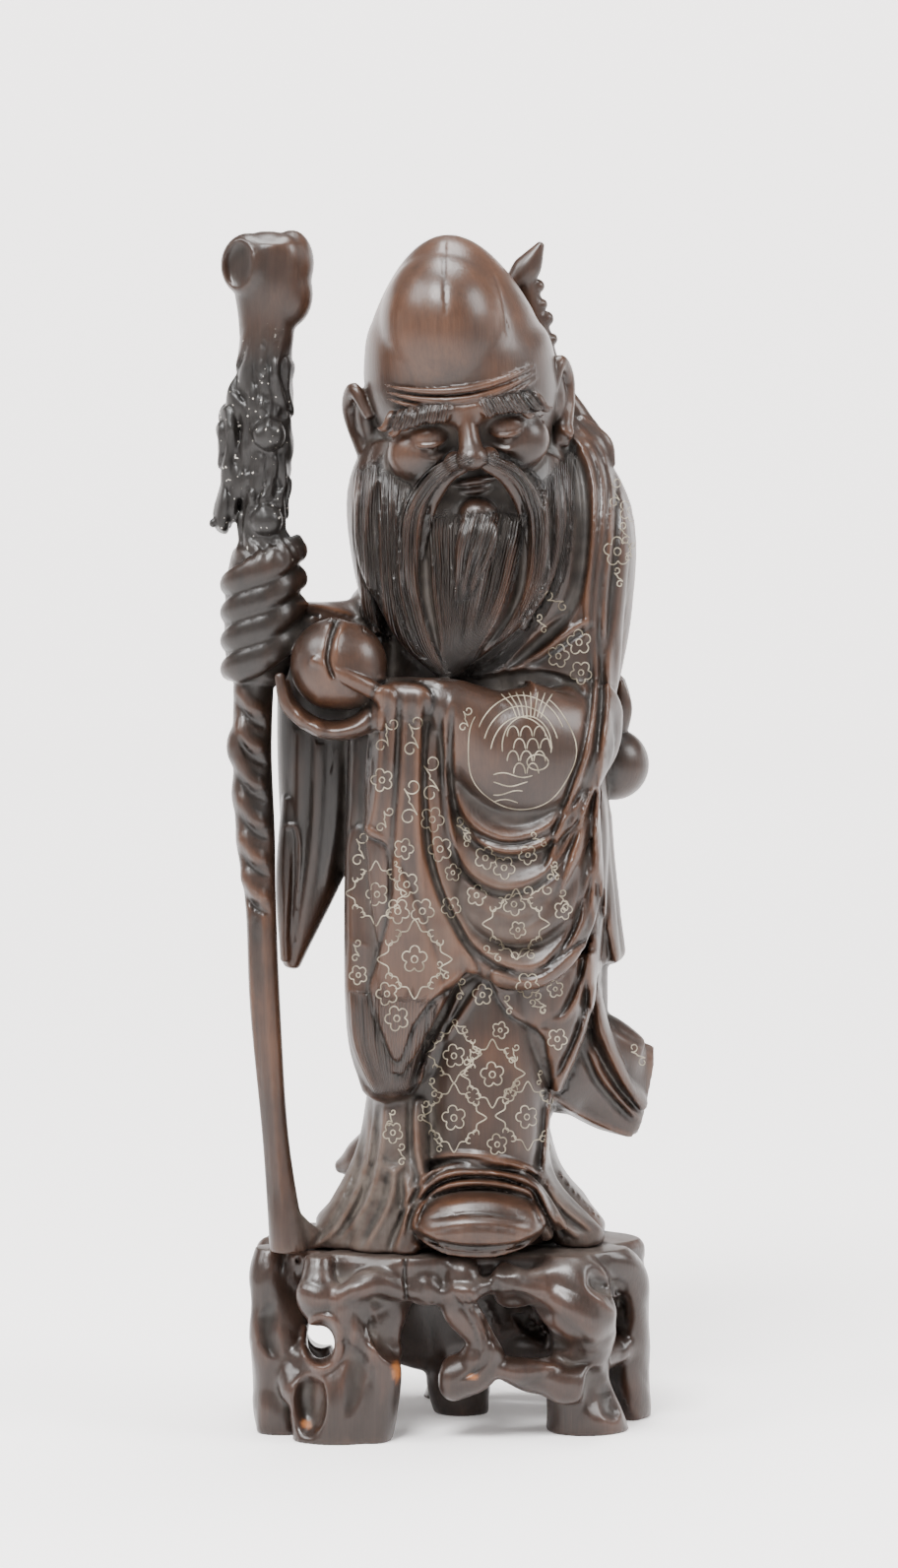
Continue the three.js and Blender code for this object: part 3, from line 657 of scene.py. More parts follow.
    def panel(self, panel: Panel) -> None:
        """Raises an area by an even-odd count of its edges. With the blurred area m, the height is rise
        * root of (2 m - 1) inside and sinks by rise * sink * 2 m outside.

        Args:
            panel: what is raised or sunk.
        """
        outline = smooth_closed(np.array(panel.outline, float))
        x = self.left + np.arange(self.columns)[None, :]
        y = self.top + np.arange(self.rows)[:, None]
        inside = np.zeros((self.rows, self.columns), bool)
        for (x0, y0), (x1, y1) in zip(outline, np.roll(outline, -1, axis=0)):
            if y0 != y1:
                inside ^= ((y0 <= y) != (y1 <= y)) & (x < x0 + (y - y0) * (x1 - x0) / (y1 - y0))
        m = blurred(inside.astype(np.float32), panel.edge)
        top, ditch = np.sqrt(np.clip(2 * m - 1, 0, 1)), -panel.sink * np.clip(2 * m, 0, 1) ** 2
        self.heights += panel.rise * np.where(inside, top, ditch).astype(np.float32)

    def see(self, points: Array) -> None:
        """Notes the distance of the first surface in each cell, spread by one cell each way.

        Args:
            points: places on the surface, in millimetres.
        """
        seen = self.view.project(points)
        shape = (self.rows // self.cell + 2, self.columns // self.cell + 2)
        first = np.full(shape, np.inf)
        np.minimum.at(first, self.cells(seen, shape), seen[:, 2])
        wide = np.pad(first, 1, constant_values=np.inf)
        self.first = np.min([wide[a:a + shape[0], b:b + shape[1]] for a in range(3) for b in range(3)],
                            axis=0)

    def cells(self, seen: Array, shape: tuple[int, ...]) -> tuple[Array, Array]:
        """Finds the cells that places fall in.

        Args:
            seen: column, row and distance ahead of each place.
            shape: rows and columns of cells.

        Returns:
            Row and column of each cell.
        """
        row = np.clip(((seen[:, 1] - self.top) / self.cell).astype(int), 0, shape[0] - 1)
        column = np.clip(((seen[:, 0] - self.left) / self.cell).astype(int), 0, shape[1] - 1)
        return row, column

    def shown(self, seen: Array) -> Array:
        """1 for places on the first surface from the eye, falling to 0 for those well behind it.

        Args:
            seen: column, row and distance ahead of each place.

        Returns:
            A share for each place.
        """
        behind = seen[:, 2] - self.first[self.cells(seen, self.first.shape)]
        return np.clip((self.behind - behind) / self.fading, 0, 1)

    def read(self, image: Array, places: Array, faces: Array) -> Array:
        """Reads an image of the window, as the mean of four pixels by nearness. It counts where the
        eye sees the surface and fades as the surface turns away.

        Args:
            image: one value to a pixel of the window.
            places: millimetres.
            faces: directions that the surface faces at the places.

        Returns:
            A value for each place.
        """
        seen = self.view.project(places)
        x = np.clip(seen[:, 0] - self.left, 0, self.columns - 1.001)
        y = np.clip(seen[:, 1] - self.top, 0, self.rows - 1.001)
        i, j = y.astype(int), x.astype(int)
        v, w = y - i, x - j
        total = ((1 - v) * ((1 - w) * image[i, j] + w * image[i, j + 1])
                 + v * ((1 - w) * image[i + 1, j] + w * image[i + 1, j + 1]))
        facing = np.clip(-(faces @ self.view.axes()[2]) / self.turned, 0, 1)
        return total * self.shown(seen) * facing


def smooth_closed(points: Array, fine: int = 8) -> Array:
    """Uniform Catmull-Rom loop through points.

    Args:
        points: corners, one row each.
        fine: steps from a corner to the next.

    Returns:
        The points of the loop.
    """
    ends = [np.roll(points, shift, axis=0)[:, None] for shift in (1, 0, -1, -2)]
    w = (np.arange(fine) / fine)[None, :, None]
    return cubic(ends, w).reshape(-1, points.shape[1])


@dataclass(frozen=True)
class Robe:
    """The trunk, the hanging cloth and the hem, in parts."""

    trunk: Places = (
        (2.2, 1, 0, 10.2, 9.6), (2.2, 1, 9, 8.2, 7.8), (3.2, 1, 18, 10, 8.4), (4.2, 1.4, 28, 12, 9.2),
        (4.3, 1.8, 42, 12, 9.3), (4.8, 2.4, 54, 12.2, 9.8), (6, 3.2, 64, 13, 10.6),
        (6.6, 3.4, 71, 12.6, 10.4), (6, 2.4, 77, 9.8, 8.4), (4.6, 0.2, 81.4, 6, 6.2),
    )
    swags: int = 4

    def forms(self) -> list[Form]:
        """The robe from the trunk out.

        Returns:
            Forms, in parts of the figure's height.
        """
        loose = [
            Form(sweep(self.trunk, 120, pleats=9, depth=0.05)),
            # Inner skirt, apron and the cloth that falls from the forearm
            Form(sweep([(4.9, -1.6, 29, 6.2, 6.6), (5, -2, 17, 6.4, 7.3), (4.9, -2.2, 8.4, 6.2, 7.6)], 64)),
            Form(sweep([(-4.6, -6, 50, 3.9, 2.6), (-5, -6.6, 34, 3.9, 2.4), (-4.9, -6.8, 22, 3.8, 2.2),
                        (-4.4, -6.8, 16.6, 3, 2)], 40, dome=1.1), 0.8),
            Form(sweep([(8, -5.2, 51, 6.6, 6.2), (8, -4.8, 43, 7.8, 6.6), (8.6, -4, 34, 7.4, 6.2),
                        (8.8, -3.4, 28.6, 4.4, 4.8)], 48, dome=0.3), 2.0),
            Form(sweep([(10.3, -3, 28, 5.8, 5), (11, -3.6, 21, 3.8, 4), (12, -4, 15.4, 0.4, 0.8)], 40,
                       dome=0.1), 0.8),
            # Long folds at the right, between the front and the back
            Form(sweep([(15, -1.6, 51, 1.2, 3), (15.6, -2, 40, 1.4, 3.4), (15.2, -2, 27, 1.1, 2.4)])),
            Form(sweep([(14.9, 3, 50, 2, 4.4), (15.5, 3, 38, 2.1, 4.4), (16.8, 3.2, 28, 2, 3.2)], 32)),
            Form(sweep([(13.4, 3.4, 32, 3.6, 5), (14, 3.4, 20, 3, 4.4)], 32)),
        ]
        return [*loose, *self.tail(), *self.hanging_sleeve(), *self.sleeve_end(), *self.hem(),
                *self.shoulder(), *self.right_sleeve()]

    def tail(self) -> list[Form]:
        """The tail of the robe swung out to the right.

        Returns:
            Forms, in parts of the figure's height.
        """
        return [
            Form(sweep([(10.6, 2.4, 18, 5.6, 4.6), (15, 3.2, 16.8, 5.4, 3.2), (18.4, 4.2, 14.6, 5, 1.8),
                        (20.9, 5.2, 14, 4.5, 0.7)], 32, square=0.75, dome=0.3)),
            Form(sweep([(15.2, 0.8, 25, 0.9, 2.6), (16.4, 0.6, 20, 1, 2.2), (18.6, 2.4, 15.6, 0.9, 1.4),
                        (20.6, 4.4, 12.6, 0.5, 0.7)]), 1.0),
        ]

    def hanging_sleeve(self) -> list[Form]:
        """Nested folds, each lower and wider than the last: half ellipses from hold to hold, lowest
        between them and bowed to the front there.

        Returns:
            Forms, in parts of the figure's height.
        """
        folds = []
        turn = np.linspace(-math.pi / 2, math.pi / 2, 11)
        for share in np.linspace(0, 1, self.swags):
            left = np.array([1.4 - 2.6 * share, 53 - 10.7 * share])
            right = np.array([14.8 + 0.6 * share, 48.6 - 8 * share])
            low = np.array([7.6 + 0.8 * share, 40.6 - 12.6 * share])
            hold = np.where(turn[:, None] < 0, left, right)
            rise = 1 - np.cos(turn)
            r = (0.95 + 0.3 * share) * (1 - 0.5 * rise)
            x = low[0] + (hold[:, 0] - low[0]) * np.abs(np.sin(turn))
            z = low[1] + (hold[:, 1] - low[1]) * rise
            y = -11 + 1.7 * share + 3 * rise
            folds.append(Form(sweep(np.stack([x, y, z, 1.5 * r, 1.2 * r], -1), 20, fine=3), 3.5))
        return folds

    def sleeve_end(self) -> list[Form]:
        """The sleeve end that hangs from the left wrist down to two points.

        Returns:
            Forms, in parts of the figure's height.
        """
        return [
            Form(sweep([(-2.2, -9.8, 56, 3.6, 2.4), (-2.4, -9.8, 47, 4.4, 2.6), (-1.9, -9.4, 37, 4.5, 2.3),
                        (-1.2, -9, 29.6, 4.2, 2), (-2.8, -8.8, 22.6, 2.3, 1.5), (-3.6, -8.7, 18, 0.4, 0.7)],
                       60, dome=0.2), 0.6),
            Form(sweep([(-0.8, -7.4, 43, 2.6, 3), (0.2, -7.6, 36, 3, 3), (2.2, -8, 31.2, 2.5, 2.4),
                        (4.2, -8.6, 27.6, 0.5, 0.8)], 32, dome=0.2), 0.6),
        ]

    def hem(self) -> list[Form]:
        """The falls of cloth beside the feet, the arches over the shoe and the shoe.

        Returns:
            Forms, in parts of the figure's height.
        """
        falls = [
            [(-3.4, -3.2, 17, 2.4, 3.6), (-4.2, -5.4, 8, 2.5, 3.2), (-5.2, -7.2, 0, 3.4, 2.8)],
            [(-4.6, 0, 16, 1.9, 4), (-6, -1.8, 8, 2.1, 4), (-9.2, -4.4, 0, 3.2, 3.4)],
            [(-3.4, 3.6, 10, 2.6, 3.4), (-7.6, 4.4, 7, 1.9, 2.4), (-9.6, 4.8, 6.2, 0.7, 1)],
            [(-5, 3.4, 5, 2.6, 4), (-9.6, 2.4, 0, 2.8, 3.6)],
            [(9.2, -1, 11, 1.6, 4.4), (10.6, -3, 5.4, 1.7, 3.6), (14.6, -4.2, 0, 2.4, 2.6)],
            [(8.6, 3, 11, 2.4, 5), (10.6, 2.8, 5.6, 2.3, 4.4), (15.4, 2.4, 0, 1.9, 3.2)],
            [(-1.6, -5, 14, 1.2, 2), (-2, -7.4, 6, 1.3, 2), (-2.8, -9.2, 0, 1.3, 1.6)],
        ]
        forms = [Form(sweep(rows, 32), 1.6) for rows in falls]
        for i in range(2):
            rise, reach = 7 + 1.5 * i, 6.8 + 1.2 * i
            forms.append(Form(sweep(
                [(4.2 - reach, -7.2, 1.4 + i, 0.7, 1), (4.2 - reach * 0.6, -8.8, rise * 0.82, 0.7, 1.1),
                 (4.2, -9.4 + 0.4 * i, rise, 0.7, 1.1), (4.2 + reach * 0.6, -8.8, rise * 0.82, 0.7, 1.1),
                 (4.2 + reach, -7.2, 1.4 + i, 0.7, 1)], 20), 1.0))
        forms.append(Form(sweep([(4.2, -5, 3.1, 6.6, 3.5), (4.2, -10, 3.1, 6.6, 3.3),
                                 (4.2, -12.8, 2.4, 5.6, 2.4), (4.2, -13.6, 2, 4.4, 1.5)], 48, face=UP,
                                dome=0.4), 0.5))
        return forms

    def shoulder(self) -> list[Form]:
        """The shoulder and the roll of the collar round the back of the neck.

        Returns:
            Forms, in parts of the figure's height.
        """
        return [
            Form(sweep([(12.6, 1.6, 76.4, 4, 5), (15.2, 1.4, 70, 4.3, 6.4), (14.8, 1, 62, 4.2, 6.2),
                        (14.4, -0.6, 53, 3.2, 5.2)], 40), 3.0),
            Form(ball((2.6, 2.6, 76.2), (8.6, 6.8, 5), 40), 3.0),
            Form(sweep([(-4.6, 1, 78, 1.2, 1.6), (-1.2, 6.2, 79, 1.4, 2), (5, 8.2, 79.4, 1.6, 2),
                        (11.6, 5.4, 78.8, 1.4, 1.8), (13.6, 1, 78.4, 1, 1.4)], face=UP), 2.6),
        ]

    def right_sleeve(self) -> list[Form]:
        """The arm out to the fist and the long panel that hangs from it.

        Returns:
            Forms, in parts of the figure's height.
        """
        return [
            Form(sweep([(-3, 0.4, 60.8, 3.4, 4.4), (-9, -1.6, 60.6, 2.8, 3.4), (-13.4, -4.4, 61, 2.6, 3),
                        (-15.8, -6.4, 62, 3, 2.6)], 32)),
            Form(sweep([(-10.6, -0.8, 61, 4.8, 3.2), (-11, -0.9, 50, 4.6, 3.4), (-11.5, -0.8, 40, 3.8, 3),
                        (-14.2, -1, 27.4, 0.9, 1.3)], 36, square=0.92, dome=0.5)),
            Form(sweep([(-14.4, -2.4, 44, 0.7, 1.2), (-14.9, -2.4, 36, 0.8, 1.3),
                        (-14.8, -2, 28, 0.5, 0.9)]), 0.8),
            Form(sweep([(-5.4, 1, 63, 3, 6.4), (-6.6, 1.4, 50, 3.4, 6.4), (-7, 1, 37, 2.4, 5)], 36), 2.5),
        ]


@dataclass(frozen=True)
class Head:
    """The head in its own frame, with the middle of the skull at the origin, then bowed and tilted.

    The face is divided by equal thirds from the brow to the nose to the chin. The eyes are 0.4 of a third
    below the brow and about one eye's width apart.
    """

    middle: tuple[float, float, float] = (1.8, -4.2, 88)
    bow: float = 10
    tilt: float = 7
    turn: float = 4
    third: float = 4.9
    brow: float = -4.6
    eye_side: float = 3.7  # from the middle of the face to the middle of an eye
    crown: float = 12.3  # from the widest ring up to the top, and a part more
    half_width: float = 9.35
    half_depth: float = 9.4

    @property
    def nose(self) -> float:
        """Height of the base of the nose."""
        return self.brow - self.third

    @property
    def chin(self) -> float:
        """Height of the chin."""
        return self.nose - self.third

    @property
    def eye(self) -> float:
        """Height of the line of the eyes."""
        return self.brow - self.third * 0.4

    @property
    def mouth(self) -> float:
        """Height of the line of the lips."""
        return self.nose - self.third / 3

    def posed(self, shell: Shell) -> Shell:
        """Returns a shell of the head's frame at its place on the figure."""
        return shell.turned(turning(self.bow, -self.tilt, self.turn), self.middle)

    def forms(self) -> list[Form]:
        """The skull, the face and the ears.

        Returns:
            Forms, in parts of the figure's height.
        """
        turn = np.radians([88, 78, 66, 54, 42, 31, 20, 9])
        dome = [(0.5 - 0.4 * (1 - math.sin(a)), -0.6 * math.sin(a), self.crown * math.sin(a) - 1,
                 self.half_width * (1 - math.sin(a) ** 1.15) ** 0.5,
                 self.half_depth * (1 - math.sin(a) ** 1.3) ** 0.5) for a in turn]
        rows = [
            (sweep([*dome, (0.3, 0.1, -1.6, 9.35, 9.3), (0.5, 0.2, -4.8, 9.15, 9), (0.5, 0, -8, 8.4, 8.2),
                    (0.5, -0.8, self.chin + 2.6, 7, 6.8), (0.4, -2, self.chin, 4, 4.6)], 96, dome=0.5,
                    fine=8), 1.0),
            # Great lobe of the forehead
            (ball((-0.6, -2.6, 2.6), (6.4, 7.2, 7.7), 64), 1.2),
            # Swelling of the brow, and the bridge, tip and wings of the nose
            (sweep([(-6.4, -6.2, self.brow - 0.6, 1, 1), (-3, -8.3, self.brow + 0.5, 1.2, 1.1),
                    (0, -8.7, self.brow + 0.1, 1.2, 1.1), (3, -8.3, self.brow + 0.5, 1.2, 1.1),
                    (6.4, -6.2, self.brow - 0.6, 1, 1)], 24, face=FRONT), 4.0),
            (sweep([(0, -8.5, self.brow + 0.2, 0.9, 1), (0, -9.5, self.nose + 2.6, 1.05, 1.3),
                    (0, -10.4, self.nose + 1.1, 1.3, 1.35)], 24), 2.2),
            (ball((0, -10.9, self.nose + 0.9), (1.5, 1.25, 1.2)), 1.4),
            *self.forehead(),
        ]
        for side in (-1, 1):
            rows += [
                (ball((side * 1.65, -9.7, self.nose + 0.6), (1.0, 1.15, 0.95)), 0.7),
                (ball((side * 4.7, -6.0, self.nose + 1.0), (3.2, 2.8, 2.9), 32), 3.8),
                *self.ear(side),
            ]
        return [Form(self.posed(shell), melt) for shell, melt in rows]

    def forehead(self) -> list[tuple[Shell, float]]:
        """Three lines that follow the curve of the forehead, and the tufts of the brows: short locks
        that start on the brow and curl outwards and down.

        Returns:
            Shells in the head's own frame, each with its melt.
        """
        rows, reach = [], 9.5
        for k in range(3):
            turn = np.radians(np.linspace(-50, 50, 9))
            size = 0.3 * np.cos(turn * 1.5) + 0.06
            height = self.brow + 1.5 + 0.75 * k + (0.9 - 0.2 * k) * np.cos(2.4 * turn + math.pi)
            rows.append((sweep(np.stack([reach * np.sin(turn), -reach * np.cos(turn), height, size, size],
                                        -1), 12), 0.5))
        for side in (-1, 1):
            for k in range(6):
                turn = math.radians(9 + 7.4 * k)
                long = 1 + 0.25 * math.sin(2.3 * k + side)
                x, y, z = side * reach * math.sin(turn), -reach * math.cos(turn), self.brow + 0.8 - 0.12 * k
                rows.append((sweep([(x, y, z + 0.5, 0.4, 0.2),
                                    (x + side * 0.3, y - 0.3, z - 0.2 * long, 0.6, 0.42),
                                    (x + side * 1.0, y - 0.3, z - 1.2 * long, 0.42, 0.36),
                                    (x + side * 1.7, y + 0.1, z - 1.3 * long, 0.12, 0.12)], 12), 0.45))
        return rows

    def brow_hair(self, side: int) -> Comb:
        """Returns fine hair over the tufts of one brow, in the frame.

        Args:
            side: -1 for the left of the picture, 1 for the right.

        Returns:
            The comb, between the inner and the outer end of the brow.
        """
        ends = np.array([[1.3, -9.8, 1.4], [1.9, -9.8, -0.6], [6.4, -7.4, 1.1], [7.6, -6.6, -1.0]])
        ends = ends * (side, 1, 1) + (0, 0, self.brow)
        placed = ends @ turning(self.bow, -self.tilt, self.turn).T + self.middle
        seen = View().project(placed * PART + np.array([0, 0, DECK]))[:, :2]
        return Comb(seen[:2].tolist(), seen[2:].tolist(), 6, 0.7, 0.5)

    def hollows(self) -> list[Form]:
        """What is cut away: the sockets of the eyes and the hollows of the ears.

        Returns:
            Forms, in parts of the figure's height.
        """
        rows = []
        for side in (-1, 1):
            rows += [
                (ball((side * self.eye_side, -10.2, self.eye + 0.1), (2.3, 2.5, 1.5)), 3.0),
                (sweep([(side * 10.8, -1.2, -4.4, 0.5, 0.4), (side * 11, -0.4, -6.2, 0.7, 0.6),
                        (side * 10.4, -1.4, -7.8, 0.4, 0.4)], 16, face=(side, 0, 0)), 0.8),
            ]
        return [Form(self.posed(shell), melt) for shell, melt in rows]

    def lids(self) -> list[Form]:
        """The closed lids, laid in the sockets: an upper lid over the ball, a lower roll and the
        creases beside them. The lips follow.

        Returns:
            Forms, in parts of the figure's height.
        """
        rows = []
        for side in (-1, 1):
            x = side * self.eye_side
            rows += [
                (ball((x, -7.5, self.eye), (1.95, 1.35, 1.25), 32), 0.8),
                (sweep([(x - 1.95, -7.6, self.eye - 0.1, 0.2, 0.2),
                        (x - 0.8, -8.7, self.eye - 0.65, 0.26, 0.26),
                        (x + 0.8, -8.7, self.eye - 0.65, 0.26, 0.26),
                        (x + 1.95, -7.6, self.eye - 0.1, 0.2, 0.2)], 12), 0.3),
                (sweep([(x - 1.9, -7.4, self.eye - 0.5, 0.2, 0.2), (x, -8.4, self.eye - 1.25, 0.28, 0.28),
                        (x + 1.9, -7.4, self.eye - 0.5, 0.2, 0.2)], 12), 0.8),
                (sweep([(x - 1.9, -7.7, self.eye - 1.5, 0.15, 0.15), (x, -8.7, self.eye - 2.15, 0.26, 0.26),
                        (x + 2, -7.6, self.eye - 1.5, 0.15, 0.15)], 12), 0.9),
                *((sweep([(x + side * 2.5, -7.0, self.eye - 0.3 - 0.45 * k, 0.16, 0.16),
                          (x + side * 3.9, -6.1, self.eye + 0.3 - 0.75 * k, 0.14, 0.14)], 10), 0.5)
                          for k in range(3)),
            ]
        lips = [
            (sweep([(-2.3, -6.9, self.mouth - 0.5, 0.3, 0.5), (0, -7.9, self.mouth - 0.35, 0.42, 0.7),
                    (2.3, -6.9, self.mouth - 0.5, 0.3, 0.5)], 16), 0.4),
            (sweep([(-2, -6.8, self.mouth - 1.1, 0.3, 0.5), (0, -7.7, self.mouth - 1.25, 0.55, 0.8),
                    (2, -6.8, self.mouth - 1.1, 0.3, 0.5)], 16), 0.3),
        ]
        return [Form(self.posed(shell), melt) for shell, melt in rows + lips]

    def ear(self, side: int) -> list[tuple[Shell, float]]:
        """The shell of an ear, its rim and its long lobe.

        Args:
            side: -1 for the left of the picture, 1 for the right.

        Returns:
            Shells in the head's own frame, each with its melt.
        """
        return [
            (ball((side * 9.2, 0.4, -5.6), (1.2, 1.7, 3)), 1.5),
            (sweep([(side * 8.9, -1.6, -5, 0.6, 0.6), (side * 10.1, -0.4, -2.6, 0.8, 0.7),
                    (side * 10.7, 1.3, -4.8, 0.8, 0.8), (side * 9.9, 0, -8.4, 0.9, 0.9),
                    (side * 9.2, -1, -10.4, 0.95, 0.9)], 20, face=(side, 0, 0)), 0.8),
        ]


@dataclass(frozen=True)
class Beard:
    """The beard: a broad mass that falls to one point, hollowed round the mouth."""

    mass: Places = (
        (3, -4.6, 78, 9.2, 3.8), (2.5, -6.2, 72, 10.2, 4.1), (1.9, -7.4, 65.6, 9, 3.8),
        (1.3, -8.4, 60.4, 5.4, 3.2), (1.3, -9, 56.6, 1, 1.6),
    )

    def forms(self) -> list[Form]:
        """The mass, and the hair that falls outside it at the left.

        Returns:
            Forms, in parts of the figure's height.
        """
        return [
            Form(sweep(self.mass, 96, dome=0.3), 2.0),
            Form(sweep([(-5, -2.2, 79.4, 1.6, 2.6), (-7, -3.4, 74, 1.6, 2.8), (-6.6, -4.2, 67, 1.4, 2.6),
                        (-5.6, -4.8, 60.6, 0.7, 1.6)], 32), 1.0),
        ]

    def hollow(self) -> Form:
        """Returns the hollow round the mouth that the moustache arches over."""
        return Form(sweep([(4.3, -13, 74.8, 2.6, 2.6), (4.4, -13.4, 71, 4.2, 3), (4.2, -13, 66, 3.4, 2)],
                          40), 2.0)

    def locks(self) -> list[Form]:
        """The two ends of the moustache and the tuft of the chin.

        Returns:
            Forms, in parts of the figure's height.
        """
        forms = []
        for side in (-1, 1):
            x = 4 + 0.4 * side
            for k in range(3):
                out = side * (0.75 * k - 0.7)
                forms.append(Form(sweep(
                    [(x + side * 0.5 + 0.4 * out, -12.4, 77.1 + 0.2 * k, 0.4, 0.5),
                     (x + side * 2.9 + 0.6 * out, -11.7, 75.6 + 0.35 * k, 0.55, 0.7),
                     (x + side * 4.9 + out, -10.3 + 0.3 * side, 72, 0.5, 0.7),
                     (x + side * 5.4 + out, -10.2 + 0.4 * side, 67, 0.45, 0.65),
                     (x + side * 4.5 + 0.7 * out, -10.6, 61.4 + k, 0.15, 0.35)], 20), 0.5))
        forms += [
            Form(ball((4.2, -10.4, 72.2), (1.9, 1.7, 1.7), 32), 1.5),
            *(Form(sweep([(4.2 + 0.7 * k, -11.2, 72.2, 0.5, 0.6), (4.1 + 1.1 * k, -11.8, 70, 0.75, 0.7),
                          (3.5 + 0.9 * k + 0.3 * math.sin(k), -11.4, 67, 0.6, 0.6),
                          (3.6 + 0.5 * k, -11, 64.6 - 0.6 * k, 0.45, 0.5),
                          (2.6 + 0.7 * k, -10.8, 62 + 0.8 * k, 0.15, 0.3)], 20), 0.5) for k in (-1, 0, 1)),
        ]
        return forms


@dataclass(frozen=True)
class Hands:
    """The left arm and its hand cupped under the peach, and the right fist round the staff."""

    fingers: int = 4

    def forms(self) -> list[Form]:
        """Returns both arms' forms."""
        return [*self.left(), *self.fist()]

    def left(self) -> list[Form]:
        """The forearm, the palm with its long fingers, the thumb and the peach.

        Returns:
            Forms, in parts of the figure's height.
        """
        return [
            Form(sweep([(14.8, -3.4, 52.4, 3.6, 4.2), (12.4, -7, 50.2, 5.8, 4.6), (8.4, -9, 49.4, 6.9, 4.8),
                        (4.6, -9.8, 51, 5.1, 4.2), (0.8, -11, 54, 2.6, 2.6), (-4.6, -11.4, 54.6, 1.5, 1.6)],
                       64), 1.0),
            Form(sweep([(-4.2, -11, 54.2, 1.6, 1.6), (-7.6, -10.8, 51.8, 1.1, 2.8),
                        (-11, -10.8, 51.6, 0.9, 2.8), (-13.8, -10.6, 53.6, 0.75, 2.2),
                        (-14.6, -10.6, 56, 0.6, 1.2)], 32, dome=0.5), 0.8),
            Form(sweep([(-12.4, -12.2, 52.2, 0.7, 0.7), (-14.3, -12.2, 54, 0.65, 0.7),
                        (-15, -11.9, 56.8, 0.5, 0.6)], 16), 0.4),
            Form(sweep([(-4.4, -12.4, 54.6, 0.9, 0.9), (-8, -13.8, 56.6, 0.8, 0.8),
                        (-11.6, -13.7, 58.4, 0.65, 0.65)], 20), 0.5),
            Form(ball((-9.9, -10.4, 57.8), (4.1, 4, 4.4), 48), 0.3),
            Form(ball((-8.7, -10.2, 57.6), (4.1, 3.9, 4.3), 48), 0.6),
            Form(sweep([(-9.6, -10.8, 60.8, 1.5, 1.5), (-10, -11, 62.2, 0.2, 0.2)], 24), 2.5),
        ]

    def fist(self) -> list[Form]:
        """The hand and the fingers that wrap the staff in slanting bands.

        Returns:
            Forms, in parts of the figure's height.
        """
        forms = [Form(sweep([(-16.2, -6.8, 69.6, 2.6, 2.6), (-16.6, -7, 66.6, 3.5, 3.0),
                             (-16.9, -7, 61, 3.6, 3.1), (-17.3, -7.2, 56.8, 3.0, 2.6)], 48), 1.5)]
        for i in range(self.fingers):
            z = 67.2 - 2.75 * i
            forms.append(Form(sweep(
                [(-13.4, -6.6, z + 1.6, 1.3, 1.1), (-14.9, -9.2, z + 0.9, 1.55, 1.0),
                 (-17.2, -9.9, z - 0.6, 1.6, 1.05), (-19.4, -8.6, z - 1.8, 1.5, 1.0),
                 (-19.6, -5.8, z - 2.4, 0.9, 0.8)], 24), 0.9))
        return forms


@dataclass(frozen=True)
class Staff:
    """The gnarled staff, from a burl with a hollow cut face down to the deck."""

    stem: Places = (
        (-16, -6, 98, 3.4, 3.2), (-16, -6, 94.6, 3.6, 3.4), (-16.3, -6.2, 90, 2.7, 2.6),
        (-16.5, -6.4, 84, 2.7, 2.6), (-16.5, -6.8, 76, 2.5, 2.4), (-16.9, -7, 69, 2.2, 2.1),
        (-17.4, -7.2, 60, 2, 2), (-17.8, -7.4, 50, 1.9, 1.9), (-17.5, -7.5, 41, 1.9, 1.8),
        (-17, -7.6, 34, 1.5, 1.6), (-16.6, -7.8, 24, 1.5, 1.5), (-15.6, -8.1, 11, 1.3, 1.4),
        (-14.4, -8.4, 0, 1.8, 1.8),
    )
    knots: int = 3
    lumps: Places = ((-16, -9, 79.9), (-16.3, -8.8, 71.6))

    def forms(self) -> list[Form]:
        """The stem, its burl, bark, knots and foot.

        Returns:
            Forms, in parts of the figure's height.
        """
        forms = [
            Form(sweep(self.stem, 48, dome=0.3), 1.0),
            Form(ball((-18, -7.2, 96.2), (2.7, 2.6, 3.1), 40), 1.5),
            Form(ball((-13.9, -5.6, 96.4), (2.2, 2.4, 3.2), 40), 2.5),
            Form(ball((-14.6, -7.4, 96.9), (1.6, 1.6, 2.2), 32), 1.0),
            Form(ball((-16.2, -6.2, 97.0), (3.4, 2.8, 2.5), 32), 1.0),
            Form(ball((-14.5, -6, 93.4), (2.7, 2.6, 3.4), 32), 1.5),
            Form(sweep([(-17.6, -6, 86.6, 1, 1.6), (-19.6, -6.2, 81, 1.4, 1.8), (-19.6, -6.4, 75, 1.2, 1.6),
                        (-20.8, -6.6, 71, 1, 1.3)], 24), 1.2),
            *(Form(ball(spot, (1.6, 1.5, 1.6)), 0.9) for spot in self.lumps),
            Form(sweep([(-14.8, -8, 4, 1, 1.2), (-13, -6.6, 1.4, 1.3, 1.6), (-11.2, -5, 0, 1.2, 1.4)]),
                 2.0),
        ]
        for i in range(self.knots):
            forms.append(Form(ball((-19.2 + 0.5 * i, -8 + 0.5 * i, 49.6 - 4.6 * i), (1.1, 1.5, 2)), 2.0))
        return forms

    def hollow(self) -> Form:
        """Returns the hollow of the cut face."""
        return Form(sweep([(-22.6, -13.2, 96.6, 2.2, 2.9), (-18.7, -8.9, 96.2, 1.7, 2.4)], 32, face=UP,
                          dome=0.25), 0.4)


